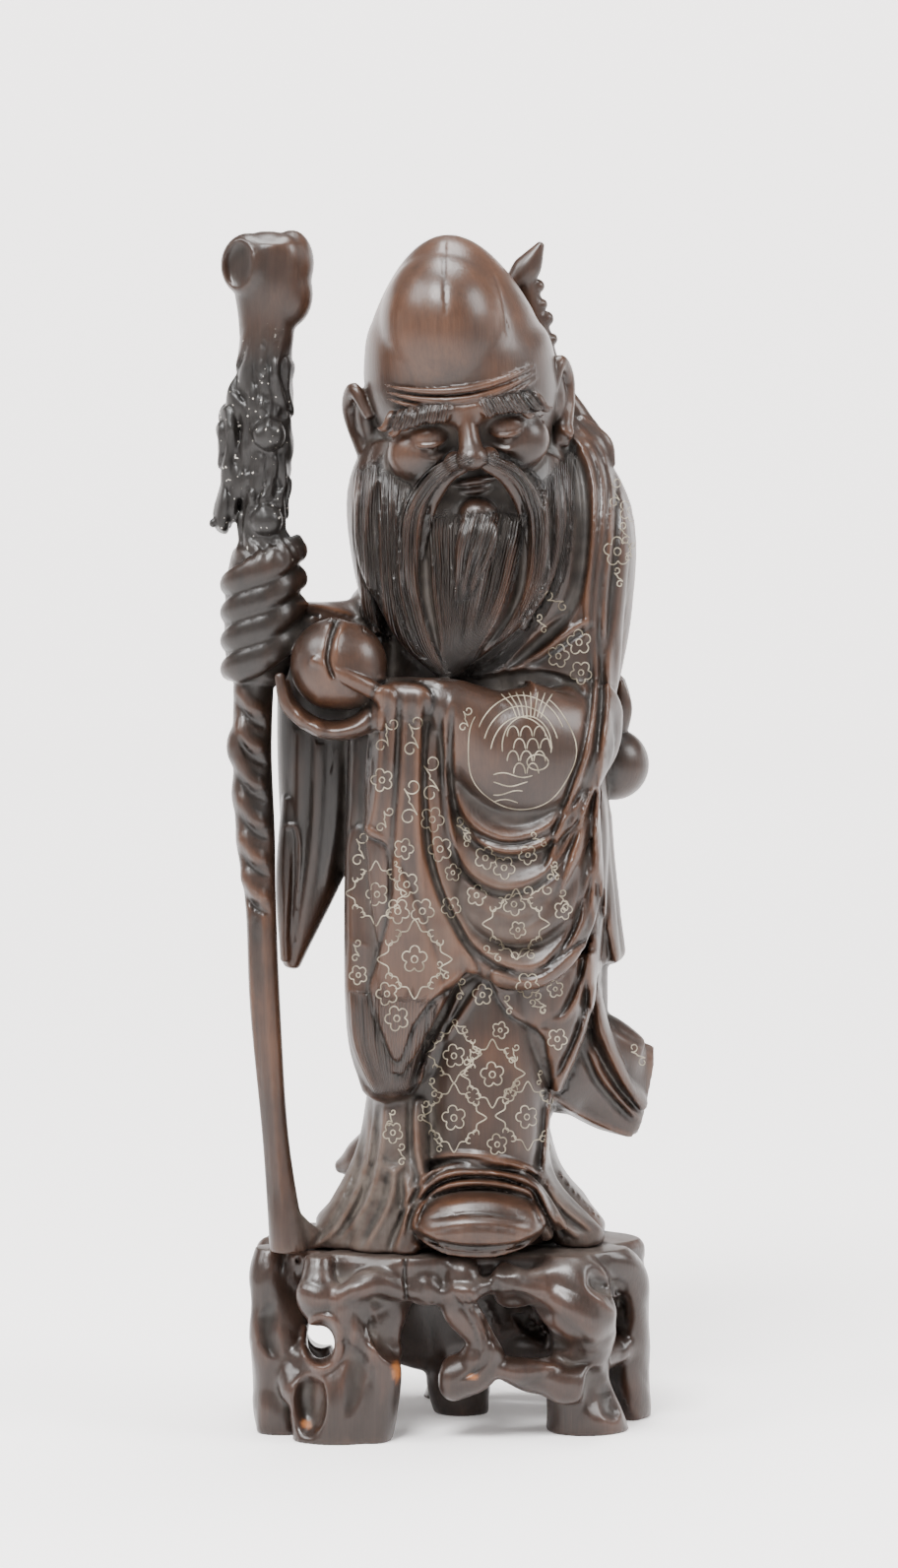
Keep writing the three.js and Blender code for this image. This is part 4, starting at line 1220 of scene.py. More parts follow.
@dataclass(frozen=True)
class Branch:
    """The branch behind the right shoulder, with its leaves and fruits."""

    fruit: tuple[float, float, float] = (17.7, 4.8, 46.7)  # middle of the round fruit at the hip

    def forms(self) -> list[Form]:
        """The leaf behind the head, the thorny stem, its leaves and the fruits.

        Returns:
            Forms, in parts of the figure's height.
        """
        return [
            Form(sweep([(7.4, 3, 94.2, 0.8, 1.4), (9, 2.6, 95.8, 1.4, 1.2), (10.4, 2.4, 98.2, 0.4, 0.5)],
                       24), 0.6),
            Form(sweep([(8.8, 3, 95, 1.1, 1.2), (10.2, 3, 90.6, 0.9, 1), (11.8, 2.8, 85, 1, 1.2),
                        (14, 2.6, 81, 1.4, 1.3), (15.8, 3.4, 77.6, 1.4, 1.5), (15.4, 8.6, 70, 1.2, 1.3),
                        (15.4, 9.6, 60, 1.1, 1.2), (17.4, 5.6, 52, 1.2, 1.3)], 24), 1.0),
            Form(sweep([(14, 1.4, 80.4, 1.2, 0.8), (16.4, 1, 78.6, 1.1, 0.7), (17.4, 1.2, 76.6, 0.4, 0.5)],
                       20), 0.6),
            Form(sweep([(18.2, 4.4, 55, 0.8, 1.2), (18.6, 4.4, 52.4, 1.1, 1.4), (18, 4.8, 49.2, 0.9, 1.2)],
                       20), 0.8),
            *(Form(ball((x, 3, z), (r, 0.8, r)), 0.5)
              for x, z, r in ((10.1, 94.1, 0.7), (10.5, 92.3, 0.6), (10.9, 90.9, 0.8), (11.5, 88.9, 0.6))),
            Form(ball(self.fruit, (3.6, 3.5, 3.6), 40), 0.4),
            Form(ball((12.4, 11.2, 56.4), (2.8, 2.6, 3), 40), 0.6),
            Form(sweep([(15.2, 10, 66, 0.9, 0.9), (12.2, 12.6, 62.6, 1.8, 0.8), (9.4, 12.8, 58, 0.4, 0.5)],
                       20), 0.6),
        ]


@dataclass(frozen=True)
class RobeFolds:
    """The folds of the robe and the edges of its layers, drawn as the eye sees them."""

    sleeve_end: Places = ((383, 698), (377, 760), (370, 830), (373, 848), (394, 862), (396, 920),
                          (381, 980), (375, 1005), (386, 1045), (404, 1080), (418, 1045), (440, 1015),
                          (478, 992), (486, 984), (466, 950), (446, 905), (434, 860), (431, 760),
                          (436, 700))
    apron: Places = ((353, 850), (351, 960), (349, 1000), (356, 1060), (372, 1100), (396, 1116),
                     (420, 1105), (442, 1085), (452, 1030), (440, 960), (390, 850))
    under_tip: Places = ((500, 985), (545, 985), (590, 958), (607, 950), (606, 1010), (592, 1060),
                         (576, 1095), (564, 1111), (556, 1075), (549, 1050), (520, 1032), (504, 1010))
    tail: Places = ((606, 990), (622, 1040), (640, 1055), (667, 1078), (658, 1130), (664, 1164),
                    (600, 1140), (556, 1112), (590, 1060))

    fringe_left: Places = ((352, 1006), (357, 1060), (380, 1110))
    fringe_right: Places = ((442, 1018), (438, 1062), (418, 1110))
    dome_cracks: Sequence[tuple] = (
        (((452, 242), (451, 275), (453, 322)), 2.5, -0.7, 0, 0.1),
        (((500, 275), (509, 305), (517, 345)), 2.5, -0.6, 0, 0.1))

    def panels(self) -> list[Panel]:
        """The layers that lie over others.

        Returns:
            Panels of the frame.
        """
        return [Panel(self.apron, 0.9, 4, 1.0), Panel(self.sleeve_end, 2.1, 3, 1.0),
                Panel(self.under_tip, 1.8, 3, 1.0),
                Panel(self.tail, 0.8, 4)]

    def fringe(self) -> Comb:
        """Returns the threads of the apron's fringe."""
        return Comb(self.fringe_left, self.fringe_right, 12, 1.1, 0.3, tint=0.5)

    def sleeve(self) -> list[Stroke]:
        """The arcs of the sleeve that hangs from the left forearm, each with its hollow.

        Returns:
            Strokes of the frame.
        """
        arcs = [((461, 704), (458, 752), (461, 800), (482, 834), (520, 848), (562, 834), (592, 797),
                 (605, 752)),
                ((456, 770), (462, 815), (484, 848), (521, 861), (564, 846), (594, 808)),
                ((448, 704), (449, 780), (456, 842), (479, 882), (517, 898), (560, 880), (594, 832),
                 (607, 790)),
                ((432, 780), (438, 860), (456, 915), (486, 958), (530, 981), (562, 970), (590, 930),
                 (604, 876))]
        strokes = []
        for arc, rise in zip(arcs, (1.3, 0.9, 1.3, 1.4)):
            low = [(x - 2, y + 10) for x, y in arc]
            strokes += [Stroke(arc, 15, rise, 0.8, 0.1), Stroke(low, 10, -1.7 * rise, -0.5, 0.1)]
        edge = ((434, 704), (429, 790), (432, 850), (448, 908), (474, 956))
        strokes.append(Stroke(edge, 9, -2.4, 0, 0.1))
        rolls = [((466, 874), (492, 912), (526, 925), (558, 905), (580, 862)),
                 ((590, 800), (588, 850), (574, 900), (548, 940), (520, 955))]
        lines = [((604, 640), (607, 700), (598, 760), (584, 802), (568, 848), (556, 884)),
                 ((612, 600), (616, 700), (608, 780), (594, 830), (580, 880), (566, 920)),
                 ((620, 640), (619, 720), (610, 800), (605, 880), (604, 950)),
                 ((603, 830), (598, 900), (585, 950), (560, 978))]
        return [*strokes, *(Stroke(path, 24, 1.3, 0.2) for path in rolls),
                *rolled(lines, (8, 1.4, 0.5, 0.2), (8, -1.2, 0, 0.2), (-7, 2))]

    def chest(self) -> list[Stroke]:
        """The collar, the laps of the robe over the chest and the shoulder's folds.

        Returns:
            Strokes of the frame.
        """
        collar = ((574, 430), (600, 452), (613, 490), (612, 540), (606, 600), (605, 650))
        laps = (
            (((568, 440), (586, 480), (592, 540), (584, 600), (560, 640), (520, 672)), 20, -2.8, 0, 0.2),
            (((580, 618), (555, 636), (528, 662), (502, 687)), 6, 1.5, 0.4, 0.15),
            (((600, 628), (572, 646), (540, 670), (515, 684)), 7, 1.5, 0.4, 0.15),
            (((604, 634), (576, 652), (544, 676)), 6, -1.2),
            (((590, 690), (560, 682), (525, 679), (490, 686), (460, 694)), 7, 1.3, 0.3),
            (((600, 712), (572, 688), (540, 680)), 8, -1.6),
            (((624, 470), (640, 530), (634, 600), (620, 690)), 26, 1.2),
            (((618, 460), (626, 520), (622, 600), (613, 680)), 9, -1.3),
            (((634, 640), (626, 700), (612, 760)), 12, 0.9))
        rolls = [Stroke([(x + shift, y) for x, y in collar], 8, 1.5, 0.3, 0.1) for shift in (-9, 0, 9)]
        return rolls + [Stroke(*lap) for lap in laps]

    def sleeve_pleats(self) -> list[Stroke]:
        """The pleats of the sleeve end, gathered at the wrist, and the seam of the peach.

        Returns:
            Strokes of the frame.
        """
        ridges = [((412, 700), (409, 780), (404, 860), (403, 930)), ((388, 700), (385, 780), (378, 840)),
                  ((399, 698), (398, 740), (396, 790)), ((425, 698), (425, 760), (424, 850), (432, 930)),
                  ((470, 985), (440, 1008), (415, 1040), (405, 1074))]
        single = (
            (((344, 626), (336, 648), (333, 672), (340, 690)), 6, -2.4, 0, 0.15),
            (((351, 628), (343, 650), (341, 672)), 6, 0.9),
            (((381, 690), (405, 686), (432, 688), (456, 698)), 7, 0.9, 0, 0.1))
        return [*(Stroke(path, 7, 1.1, -0.5, 0.2) for path in ridges),
                *(Stroke([(x - 6, y) for x, y in path], 7, -1.3, 0, 0.2) for path in ridges[:2]),
                *(Stroke(*row) for row in single)]

    def skirts(self) -> list[Stroke]:
        """The folds of the under-robe and the skirt.

        Returns:
            Strokes of the frame.
        """
        soft = [((472, 996), (455, 1036), (436, 1072), (424, 1112)), ((492, 996), (472, 1026), (448, 1060)),
                ((600, 965), (592, 1000), (576, 1030), (552, 1042)),
                ((605, 1000), (592, 1050), (572, 1092)),
                ((606, 1000), (614, 1050), (634, 1096), (657, 1128)),
                ((598, 1060), (616, 1098), (652, 1138)),
                ((560, 1112), (600, 1138), (660, 1162)), ((606, 830), (612, 900), (626, 970), (632, 990)),
                ((600, 960), (602, 1010), (610, 1060)), ((562, 1100), (557, 1150), (553, 1192))]
        edges = (
            (((430, 1176), (470, 1171), (515, 1178), (552, 1193)), 8, 1.6, 0.5, 0.1),
            (((432, 1185), (470, 1180), (515, 1188), (552, 1203)), 9, -2.0, 0, 0.1),
            (((352, 953), (378, 963)), 3, 0.5),
            (((351, 1003), (376, 1013)), 3, 0.5))
        return [*rolled(soft, (9, 1.6, 0.4, 0.2), (10, -1.4, 0, 0.2), (-8, 3)),
                *(Stroke(*edge) for edge in edges)]

    def hem(self) -> list[Stroke]:
        """The falls beside the feet, the arches over the shoe and the edges of its sole.

        Returns:
            Strokes of the frame.
        """
        falls = [((392, 1118), (388, 1165), (376, 1215), (346, 1262)),
                 ((422, 1116), (424, 1165), (430, 1205), (418, 1254)),
                 ((402, 1185), (396, 1222), (372, 1268)), ((412, 1190), (414, 1232), (400, 1272)),
                 ((376, 1120), (372, 1180), (350, 1235), (322, 1266)),
                 ((554, 1198), (572, 1226), (604, 1252)),
                 ((548, 1206), (562, 1236), (590, 1258)), ((560, 1180), (584, 1214), (612, 1240))]
        middle, foot, crown = 486, 1262, 1206
        shoe = (
            (((418, 1250), (446, 1262), (486, 1267), (528, 1263), (552, 1252)), 6, -2.2, 0, 0.05),
            (((418, 1262), (446, 1273), (486, 1277), (528, 1274), (552, 1262)), 8, 1.0, 0, 0.05),
            (((440, 1226), (486, 1219), (534, 1228)), 12, 0.9),
            (((432, 1238), (486, 1232), (540, 1240)), 5, -0.8),
            (((385, 1180), (399, 1190), (414, 1180)), 6, 1.0),
            (((386, 1170), (399, 1180), (413, 1170)), 5, -1))
        strokes = rolled(falls, (8, 1.6, 0.3, 0.2), (8, -1.4, 0, 0.2), (-7, 0))
        for i in range(3):
            reach, rise = 66 + 9 * i, crown - 10 * i
            arch = ((middle - reach, foot), (middle - reach + 6, foot - 34), (middle - 36 - 3 * i, rise),
                    (middle + 6, rise - 5), (middle + 48 + 4 * i, rise + 4),
                    (middle + reach - 4, foot - 30), (middle + reach + 6, foot - 4))
            strokes += rolled([arch], (7, 1.5, -0.3, 0.15), (6, -1.3, 0, 0.15), (0, 6))
        return strokes + [Stroke(*row) for row in shoe]

    def right_sleeve(self) -> list[Stroke]:
        """The long folds of the sleeve that hangs below the fist, and those of the arm.

        Returns:
            Strokes of the frame.
        """
        folds = [((304, 700), (302, 800), (298, 880), (288, 960)),
                 ((322, 690), (324, 780), (318, 870), (302, 960)),
                 ((344, 760), (342, 840), (330, 910)), ((362, 760), (360, 820), (352, 880))]
        single = (
            (((283, 842), (300, 840), (304, 880), (292, 990)), 5, 1.2),
            (((300, 612), (330, 616), (366, 628)), 7, 1.4),
            (((304, 624), (330, 628), (352, 634)), 7, -1.2))
        return [*(Stroke(path, 15, 0.9, 0.2) for path in folds), *(Stroke(*row) for row in single)]

    def cracks(self) -> list[Stroke]:
        """Returns the two shrinkage cracks in the dome."""
        return [Stroke(*row) for row in self.dome_cracks]

    def strokes(self) -> list[Stroke]:
        """Every fold of the front.

        Returns:
            Strokes of the frame.
        """
        return [*self.cracks(), *self.chest(), *self.sleeve(), *self.sleeve_pleats(), *self.skirts(),
                *self.hem(), *self.right_sleeve()]


@dataclass(frozen=True)
class BeardHair:
    """The locks of the beard, each mass a comb between two lines."""

    side: Comb = Comb(((360, 478), (357, 540), (361, 600), (367, 640)),
                      ((386, 468), (382, 540), (386, 610), (394, 652)), 3, 1.5)
    left: Comb = Comb(((384, 474), (385, 540), (389, 610), (402, 655), (442, 690)),
                      ((428, 500), (420, 560), (428, 620), (442, 660), (456, 690)), 5, 1.7)
    right: Comb = Comb(((552, 490), (555, 560), (538, 620), (505, 665), (474, 690)),
                       ((584, 452), (580, 540), (566, 600), (527, 658), (482, 690)), 4, 1.7)
    middle: Comb = Comb(((434, 524), (438, 610), (456, 690)), ((536, 524), (514, 610), (468, 690)), 10, 1.8,
                        fade=0.4)
    tuft: Comb = Comb(((470, 522), (462, 560), (462, 612)), ((512, 520), (500, 560), (478, 606)), 5, 1.3)
    left_moustache: Comb = Comb(
        ((462, 459), (428, 482), (407, 520), (402, 560), (405, 610), (421, 655), (450, 690)),
        ((482, 468), (450, 488), (431, 516), (425, 550), (427, 600), (439, 650), (457, 690)), 3, 1.4)
    right_moustache: Comb = Comb(
        ((488, 468), (518, 486), (532, 512), (537, 548), (532, 600), (504, 650), (465, 690)),
        ((506, 458), (544, 482), (556, 514), (558, 552), (549, 605), (516, 655), (471, 690)), 3, 1.4)

    def combs(self) -> list[Comb]:
        """Returns the combs from the back of the beard to its front."""
        return [self.side, self.left, self.right, self.middle, self.tuft, self.left_moustache,
                self.right_moustache]

    def gaps(self) -> list[Stroke]:
        """The dark gaps between the masses.

        Returns:
            Strokes of the frame.
        """
        rows = (
            (((384, 490), (381, 550), (385, 620), (398, 655)), 9, -2.4, 0, 0.1),
            (((436, 505), (433, 560), (435, 610), (447, 660)), 14, -2.6),
            (((532, 505), (532, 560), (524, 610), (496, 660)), 14, -2.6),
            (((560, 480), (560, 540), (548, 600), (515, 655)), 6, -1.8))
        return [Stroke(*row) for row in rows]


@dataclass(frozen=True)
class StaffBark:
    """The rough bark of the upper staff and the twists of the lower staff."""

    bark: tuple[float, float, float, float] = (234.0, 292.0, 338.0, 520.0)  # left, right, top, bottom
    lumps: int = 20
    twists: int = 6
    twist: Places = ((238, 690), (250, 712), (270, 724))
    hollow: Places = ((240, 706), (252, 728), (270, 740))
    step: tuple[int, int] = (1, 38)  # from a twist to the next
    groove: Places = ((258, 900), (263, 1040), (278, 1240))
    spread: tuple[int, int, int] = (2, 3, 3)  # from a groove to the next at each of its points

    def strokes(self, rng: np.random.Generator) -> list[Stroke]:
        """Short crooked ridges at random over the bark, slanting twists below the fist and long grooves
        down to the deck.

        Args:
            rng: source of the ridges' places and sizes.

        Returns:
            Strokes of the frame.
        """
        left, right, top, bottom = self.bark
        strokes = []
        for _ in range(self.lumps):
            x, y = rng.uniform(left, right), rng.uniform(top, bottom)
            dx, dy = rng.uniform(-9, 9), rng.uniform(8, 26)
            path = ((x, y), (x + dx, y + dy / 2), (x + rng.uniform(-3, 3), y + dy))
            wide, rise = rng.uniform(5, 11), rng.uniform(0.6, 1.5) * rng.choice([-1, 1])
            strokes.append(Stroke(path, wide, rise))
        across, down = self.step
        for i in range(self.twists):
            twist, hollow = ([(x + across * i, y + down * i) for x, y in path]
                             for path in (self.twist, self.hollow))
            strokes += [Stroke(twist, 17, 1.7, 0.3), Stroke(hollow, 8, -1.2)]
        for k in range(-1, 3):
            groove = [(x + shift * k, y) for (x, y), shift in zip(self.groove, self.spread)]
            strokes.append(Stroke(groove, 5, -0.8, 0, 0.1))
        return strokes


@dataclass(frozen=True)
class BackFolds:
    """Plain long folds of the back, in a frame seen from behind."""

    coat: Places = ((290, 470), (278, 600), (278, 900), (288, 985), (330, 1012), (372, 1040), (420, 1050),
                    (470, 1035), (520, 1010), (550, 985), (556, 800), (552, 600), (520, 470), (400, 436))

    def strokes(self) -> list[Stroke]:
        """The coat's falls and swags, the skirt's pleats below it, and the folds of the sleeve and of
        the tail.

        Returns:
            Strokes of the frame seen from behind.
        """
        falls = [((312, 480), (298, 580), (290, 690)), ((350, 468), (346, 560), (352, 676)),
                 ((398, 456), (402, 560), (410, 690)),
                 ((444, 460), (452, 560), (462, 660)), ((492, 474), (504, 560), (512, 626)),
                 ((330, 950), (328, 975), (326, 1004)), ((380, 964), (378, 1000), (372, 1036)),
                 ((430, 962), (430, 1004), (428, 1044)),
                 ((480, 944), (484, 980), (482, 1024)), ((524, 900), (526, 950), (520, 1004))]
        swags = [((548, 616), (500, 676), (430, 716), (350, 722), (296, 702)),
                 ((552, 680), (500, 754), (420, 802), (340, 806), (292, 782)),
                 ((552, 760), (506, 836), (430, 880), (350, 884), (296, 856)),
                 ((552, 830), (510, 904), (440, 946), (366, 950), (304, 920))]
        pleats = [((330 + 24 * k, 1046), (328 + 25 * k, 1150), (316 + 28 * k, 1256)) for k in range(9)]
        edges = [((572, 640), (570, 790), (584, 960)), ((598, 640), (600, 780), (604, 900)),
                 ((621, 650), (619, 760), (614, 850)),
                 ((304, 1040), (278, 1090), (256, 1130)), ((312, 1092), (286, 1140), (262, 1160))]
        return [*(Stroke(path, 32, 1.7, 0.2, 0.2) for path in falls),
                *(Stroke(path, 30, 1.7, 0.5, 0.3) for path in swags),
                *(Stroke([(x + 17, y) for x, y in path], 10, -1.5, 0, 0.25) for path in falls),
                *(Stroke([(x, y + 17) for x, y in path], 12, -1.5, 0, 0.3) for path in swags),
                *(Stroke(path, 17, 1.5, 0.3, 0.15) for path in pleats),
                *rolled(edges, (12, 1.5, 0.3, 0.2), (9, -1.3, 0, 0.2), (9, 0))]


@dataclass(frozen=True)
class Rootwork:
    """The pierced rootwork plinth: a deck on gnarled legs, tied by runners.

    Limbs are in shares of the plinth's width, depth and height, and thick in root radii.
    """

    width: float = 154.0
    depth: float = 104.0
    height: float = 73.0
    deck_thickness: float = 15.0
    root: float = 9.0
    shift: float = 5.5
    # pixels: middle, half sizes
    chips: Places = ((403, 1392, 5, 9), (311, 1446, 5, 4), (480, 1398, 6, 2.5))
    hole: tuple[float, ...] = (327, 1363, 19, 26)  # pixels: middle and half sizes of the rim of the hole
    window: tuple[int, int, int, int] = (245, 1270, 430, 215)  # left, top, columns and rows of its drawing
    corners: int = 180  # points round the deck
    swellings: int = 26  # lumps round the rim
    seed: int = 3
    gnarl: float = 10.5  # mm to a radian of the slow lumps
    swell: float = 2.0  # mm, their height
    crease: float = 0.4  # mm, height of the creases between them
    groove_shade: float = 0.2  # painted shade: darker in a drawn groove
    settled: float = 0.8  # dust on what faces up
    settled_from: float = 0.7  # height from which it settles, of the plinth's
    triangles: int = 130000

    def limb(self, stations: Places, melt: float = 2.2) -> Form:
        """Returns a root along stations of the plinth."""
        rows = np.array(stations, float) * [self.width, self.depth, self.height, self.root, self.root]
        return self.placed(sweep(rows, 32, dome=0.8, fine=8), melt)

    def placed(self, shell: Shell, melt: float) -> Form:
        """Returns a shell moved to the plinth's middle."""
        return Form(Shell(shell.points + np.array([self.shift, 0, 0]), shell.quads, shell.tris), melt)

    def deck(self) -> Form:
        """The slab: three rings with a lobed edge, where the reach is 0.94 of the half size plus small
        waves of three and of seven lobes.

        Returns:
            The form, in millimetres.
        """
        angle = 2 * np.pi * np.arange(self.corners) / self.corners
        wave = 0.94 + 0.04 * np.cos(3 * angle + 0.6) + 0.03 * np.cos(7 * angle)
        under = self.height - self.deck_thickness
        rings = []
        for z, shrink in ((under, 0.8), (under + 2, 0.86), (under + 6, 0.98), (self.height - 3, 0.99),
                          (self.height - 0.8, 0.97), (self.height, 0.95)):
            reach = wave * shrink / 2
            rings.append(np.stack([self.width * reach * np.cos(angle), self.depth * reach * np.sin(angle),
                                   np.full(self.corners, z)], -1))
        return self.placed(skin_rings(np.array(rings)), 2.0)

    def legs(self) -> list[Form]:
        """The columns and legs, front, sides and back, and the heart of the root.

        Returns:
            Forms, in millimetres.
        """
        return [self.limb(rows) for rows in (
            [(-0.42, -0.1, 0.9, 1.1, 1.3), (-0.43, -0.16, 0.68, 1.35, 1.5), (-0.44, -0.2, 0.45, 1.25, 1.5),
             (-0.42, -0.24, -0.1, 1.2, 1.5)],
            [(-0.2, -0.3, 0.88, 2.3, 1.7), (-0.21, -0.38, 0.62, 1.6, 1.3), (-0.22, -0.4, 0.4, 1.6, 1.3),
             (-0.28, -0.42, 0.2, 2, 1.4), (-0.285, -0.42, -0.1, 2, 1.4)],
            [(-0.17, -0.4, 0.46, 1, 1.1), (-0.18, -0.43, 0.2, 0.8, 1), (-0.205, -0.44, -0.1, 0.8, 0.8)],
            [(0.29, -0.28, 0.88, 1.9, 1.6), (0.335, -0.36, 0.66, 1.6, 1.4), (0.33, -0.28, 0.36, 1.3, 1.2),
             (0.36, -0.24, -0.1, 2, 1.4)],
            [(0.42, 0.04, 0.9, 1.2, 1.5), (0.46, -0.02, 0.66, 1, 1.3), (0.45, 0.06, 0.36, 1.1, 1.4),
             (0.46, 0.12, -0.1, 1.2, 1.5)],
            [(-0.36, 0.28, 0.88, 1.8, 1.5), (-0.38, 0.34, 0.5, 1.2, 1.2), (-0.34, 0.36, -0.1, 1.5, 1.2)],
            [(0.02, 0.34, 0.88, 2, 1.4), (0.06, 0.4, 0.5, 1.2, 1.1), (0.01, 0.38, -0.1, 1.5, 1.2)],
            [(0.34, 0.3, 0.88, 1.6, 1.4), (0.36, 0.36, 0.5, 1.1, 1.1), (0.34, 0.34, -0.1, 1.4, 1.2)],
            [(0, 0.06, 0.88, 5, 2.4), (-0.01, 0.08, 0.56, 4.6, 1.9), (-0.01, 0.1, 0.36, 3.2, 1.3)],
            [(0.03, 0.08, 0.5, 1.7, 1.3), (0.03, 0.07, 0.24, 1.5, 1.2), (0.035, 0.09, -0.1, 1, 1)])]

    def runners(self) -> list[Form]:
        """The hooked root under the shoe and the bridges between the legs.

        Returns:
            Forms, in millimetres.
        """
        return [self.limb(rows, 2.4) for rows in (
            [(-0.01, -0.38, 0.84, 0.8, 0.7), (0.03, -0.45, 0.72, 0.75, 0.6), (0.08, -0.46, 0.58, 0.6, 0.6),
             (0.1, -0.46, 0.46, 0.7, 0.7), (0.07, -0.45, 0.37, 0.9, 0.8), (0.01, -0.43, 0.33, 0.9, 0.8)],
            [(-0.01, -0.44, 0.8, 0.5, 0.6), (0.05, -0.48, 0.83, 0.5, 0.6), (0.11, -0.4, 0.86, 0.5, 0.7)],
            [(0.06, -0.46, 0.46, 0.5, 0.6), (0.13, -0.44, 0.4, 0.5, 0.7), (0.21, -0.4, 0.35, 0.9, 1),
             (0.3, -0.32, 0.33, 1, 1.1)],
            [(-0.42, -0.22, 0.44, 0.9, 0.9), (-0.34, -0.34, 0.36, 0.8, 0.9), (-0.26, -0.4, 0.32, 1, 1)],
            [(-0.44, -0.12, 0.62, 0.9, 0.9), (-0.44, 0.1, 0.5, 0.8, 0.9), (-0.38, 0.32, 0.56, 0.9, 0.9)],
            [(-0.36, 0.34, 0.42, 0.8, 0.8), (-0.18, 0.42, 0.56, 0.7, 0.8), (0.04, 0.38, 0.5, 0.9, 0.9)],
            [(0.05, 0.38, 0.44, 0.8, 0.8), (0.2, 0.42, 0.34, 0.7, 0.8), (0.34, 0.34, 0.44, 0.9, 0.9)],
            [(0.06, 0.1, 0.56, 1.2, 1.1), (0.19, 0.11, 0.4, 1.1, 1), (0.36, 0.14, 0.4, 1.1, 1)],
            [(0.45, 0.04, 0.5, 0.8, 0.8), (0.43, 0.2, 0.6, 0.7, 0.8), (0.36, 0.34, 0.52, 0.9, 0.9)],
            [(0.35, -0.26, 0.34, 0.8, 0.8), (0.43, -0.12, 0.42, 0.7, 0.8), (0.45, 0.04, 0.4, 0.9, 0.9)])]

    def lobes(self) -> list[Form]:
        """The swellings that hang from the rim of the deck and flow into the legs: rounded lumps at
        uneven steps round the rim, and ridges over the front.

        Returns:
            Forms, in millimetres.
        """
        rng = np.random.default_rng(self.seed)
        forms = []
        for k in range(self.swellings):
            a = 2 * math.pi * (k + rng.uniform(-0.25, 0.25)) / self.swellings
            size = rng.uniform(0.7, 1.15)
            spot = (0.455 * self.width * math.cos(a), 0.44 * self.depth * math.sin(a),
                    self.height * rng.uniform(0.8, 0.93))
            forms.append(self.placed(ball(spot, (8 * size, 7 * size, 7.5 * size), 24), 2.5))
        ridges = (
            [(-0.115, -0.45, 0.82, 0.5, 0.5), (-0.21, -0.47, 0.86, 0.6, 0.6),
             (-0.275, -0.47, 0.72, 0.6, 0.6), (-0.285, -0.45, 0.5, 0.6, 0.6)],
            [(-0.33, -0.4, 0.95, 0.8, 0.8), (-0.335, -0.44, 0.8, 1, 0.9), (-0.3, -0.44, 0.62, 0.6, 0.6)],
            [(-0.46, -0.2, 0.96, 0.7, 0.9), (-0.465, -0.22, 0.84, 0.8, 1), (-0.44, -0.24, 0.62, 1.2, 1.1),
             (-0.44, -0.26, 0.3, 0.9, 0.9)],
            [(-0.24, -0.45, 0.74, 0.8, 0.7), (-0.2, -0.46, 0.52, 0.9, 0.8), (-0.17, -0.46, 0.4, 0.8, 0.7),
             (-0.19, -0.46, 0.2, 0.7, 0.7), (-0.2, -0.46, -0.1, 0.7, 0.6)],
            [(0.28, -0.36, 0.92, 1.3, 1), (0.31, -0.4, 0.8, 1.7, 1.3), (0.335, -0.41, 0.69, 1.7, 1.4),
             (0.35, -0.38, 0.58, 1.1, 1)],
            [(0.36, -0.28, 0.98, 0.8, 0.8), (0.455, -0.2, 0.88, 0.8, 0.9), (0.485, -0.1, 0.66, 0.7, 0.9),
             (0.47, -0.04, 0.4, 0.9, 1), (0.48, 0, -0.1, 0.8, 1)],
            [(0.13, -0.44, 0.92, 0.7, 0.6), (0.19, -0.45, 0.84, 0.8, 0.7), (0.26, -0.42, 0.86, 0.8, 0.7)],
            [(0.24, -0.42, 0.34, 0.7, 0.7), (0.3, -0.4, 0.3, 0.9, 0.8), (0.36, -0.36, 0.36, 0.7, 0.8)],
            [(-0.3, -0.42, 0.36, 0.7, 0.6), (-0.37, -0.4, 0.26, 0.8, 0.8), (-0.4, -0.34, 0.3, 0.8, 0.8)])
        return [*forms, *(self.limb(rows, 2.4) for rows in ridges)]

    def scoops(self) -> list[Form]:
        """The rounded hollows cut into the legs.

        Returns:
            Forms, in millimetres.
        """
        rows = (
            (-0.365, -0.54, 0.22, 0.9, 1.2, 1.6), (0.4, -0.42, 0.22, 1.1, 1.1, 1.5),
            (0.4, -0.48, 0.92, 0.8, 0.8, 0.9), (-0.1, -0.52, 0.6, 1.7, 1.3, 1.5),
            (0.17, -0.52, 0.66, 1.5, 1.3, 1.4), (0.43, -0.3, 0.62, 0.8, 0.9, 0.8),
            (-0.36, -0.44, 0.5, 0.7, 1.2, 0.8), (0.14, -0.52, 0.99, 0.8, 0.8, 0.6))
        return [self.placed(ball((u * self.width, v * self.depth, w * self.height),
                                 (a * self.root, b * self.root, c * self.root), 32), 2.0)
                for u, v, w, a, b, c in rows]

    def tunnel(self) -> Form:
        """The hole that goes right through between the left column and the front left leg.

        Returns:
            The form, in millimetres.
        """
        return self.limb([(-0.33, -0.62, 0.55, 0.7, 0.9), (-0.332, -0.3, 0.5, 0.58, 0.78),
                          (-0.336, 0.2, 0.43, 0.6, 0.8), (-0.34, 0.6, 0.38, 0.75, 0.9)], 2.0)

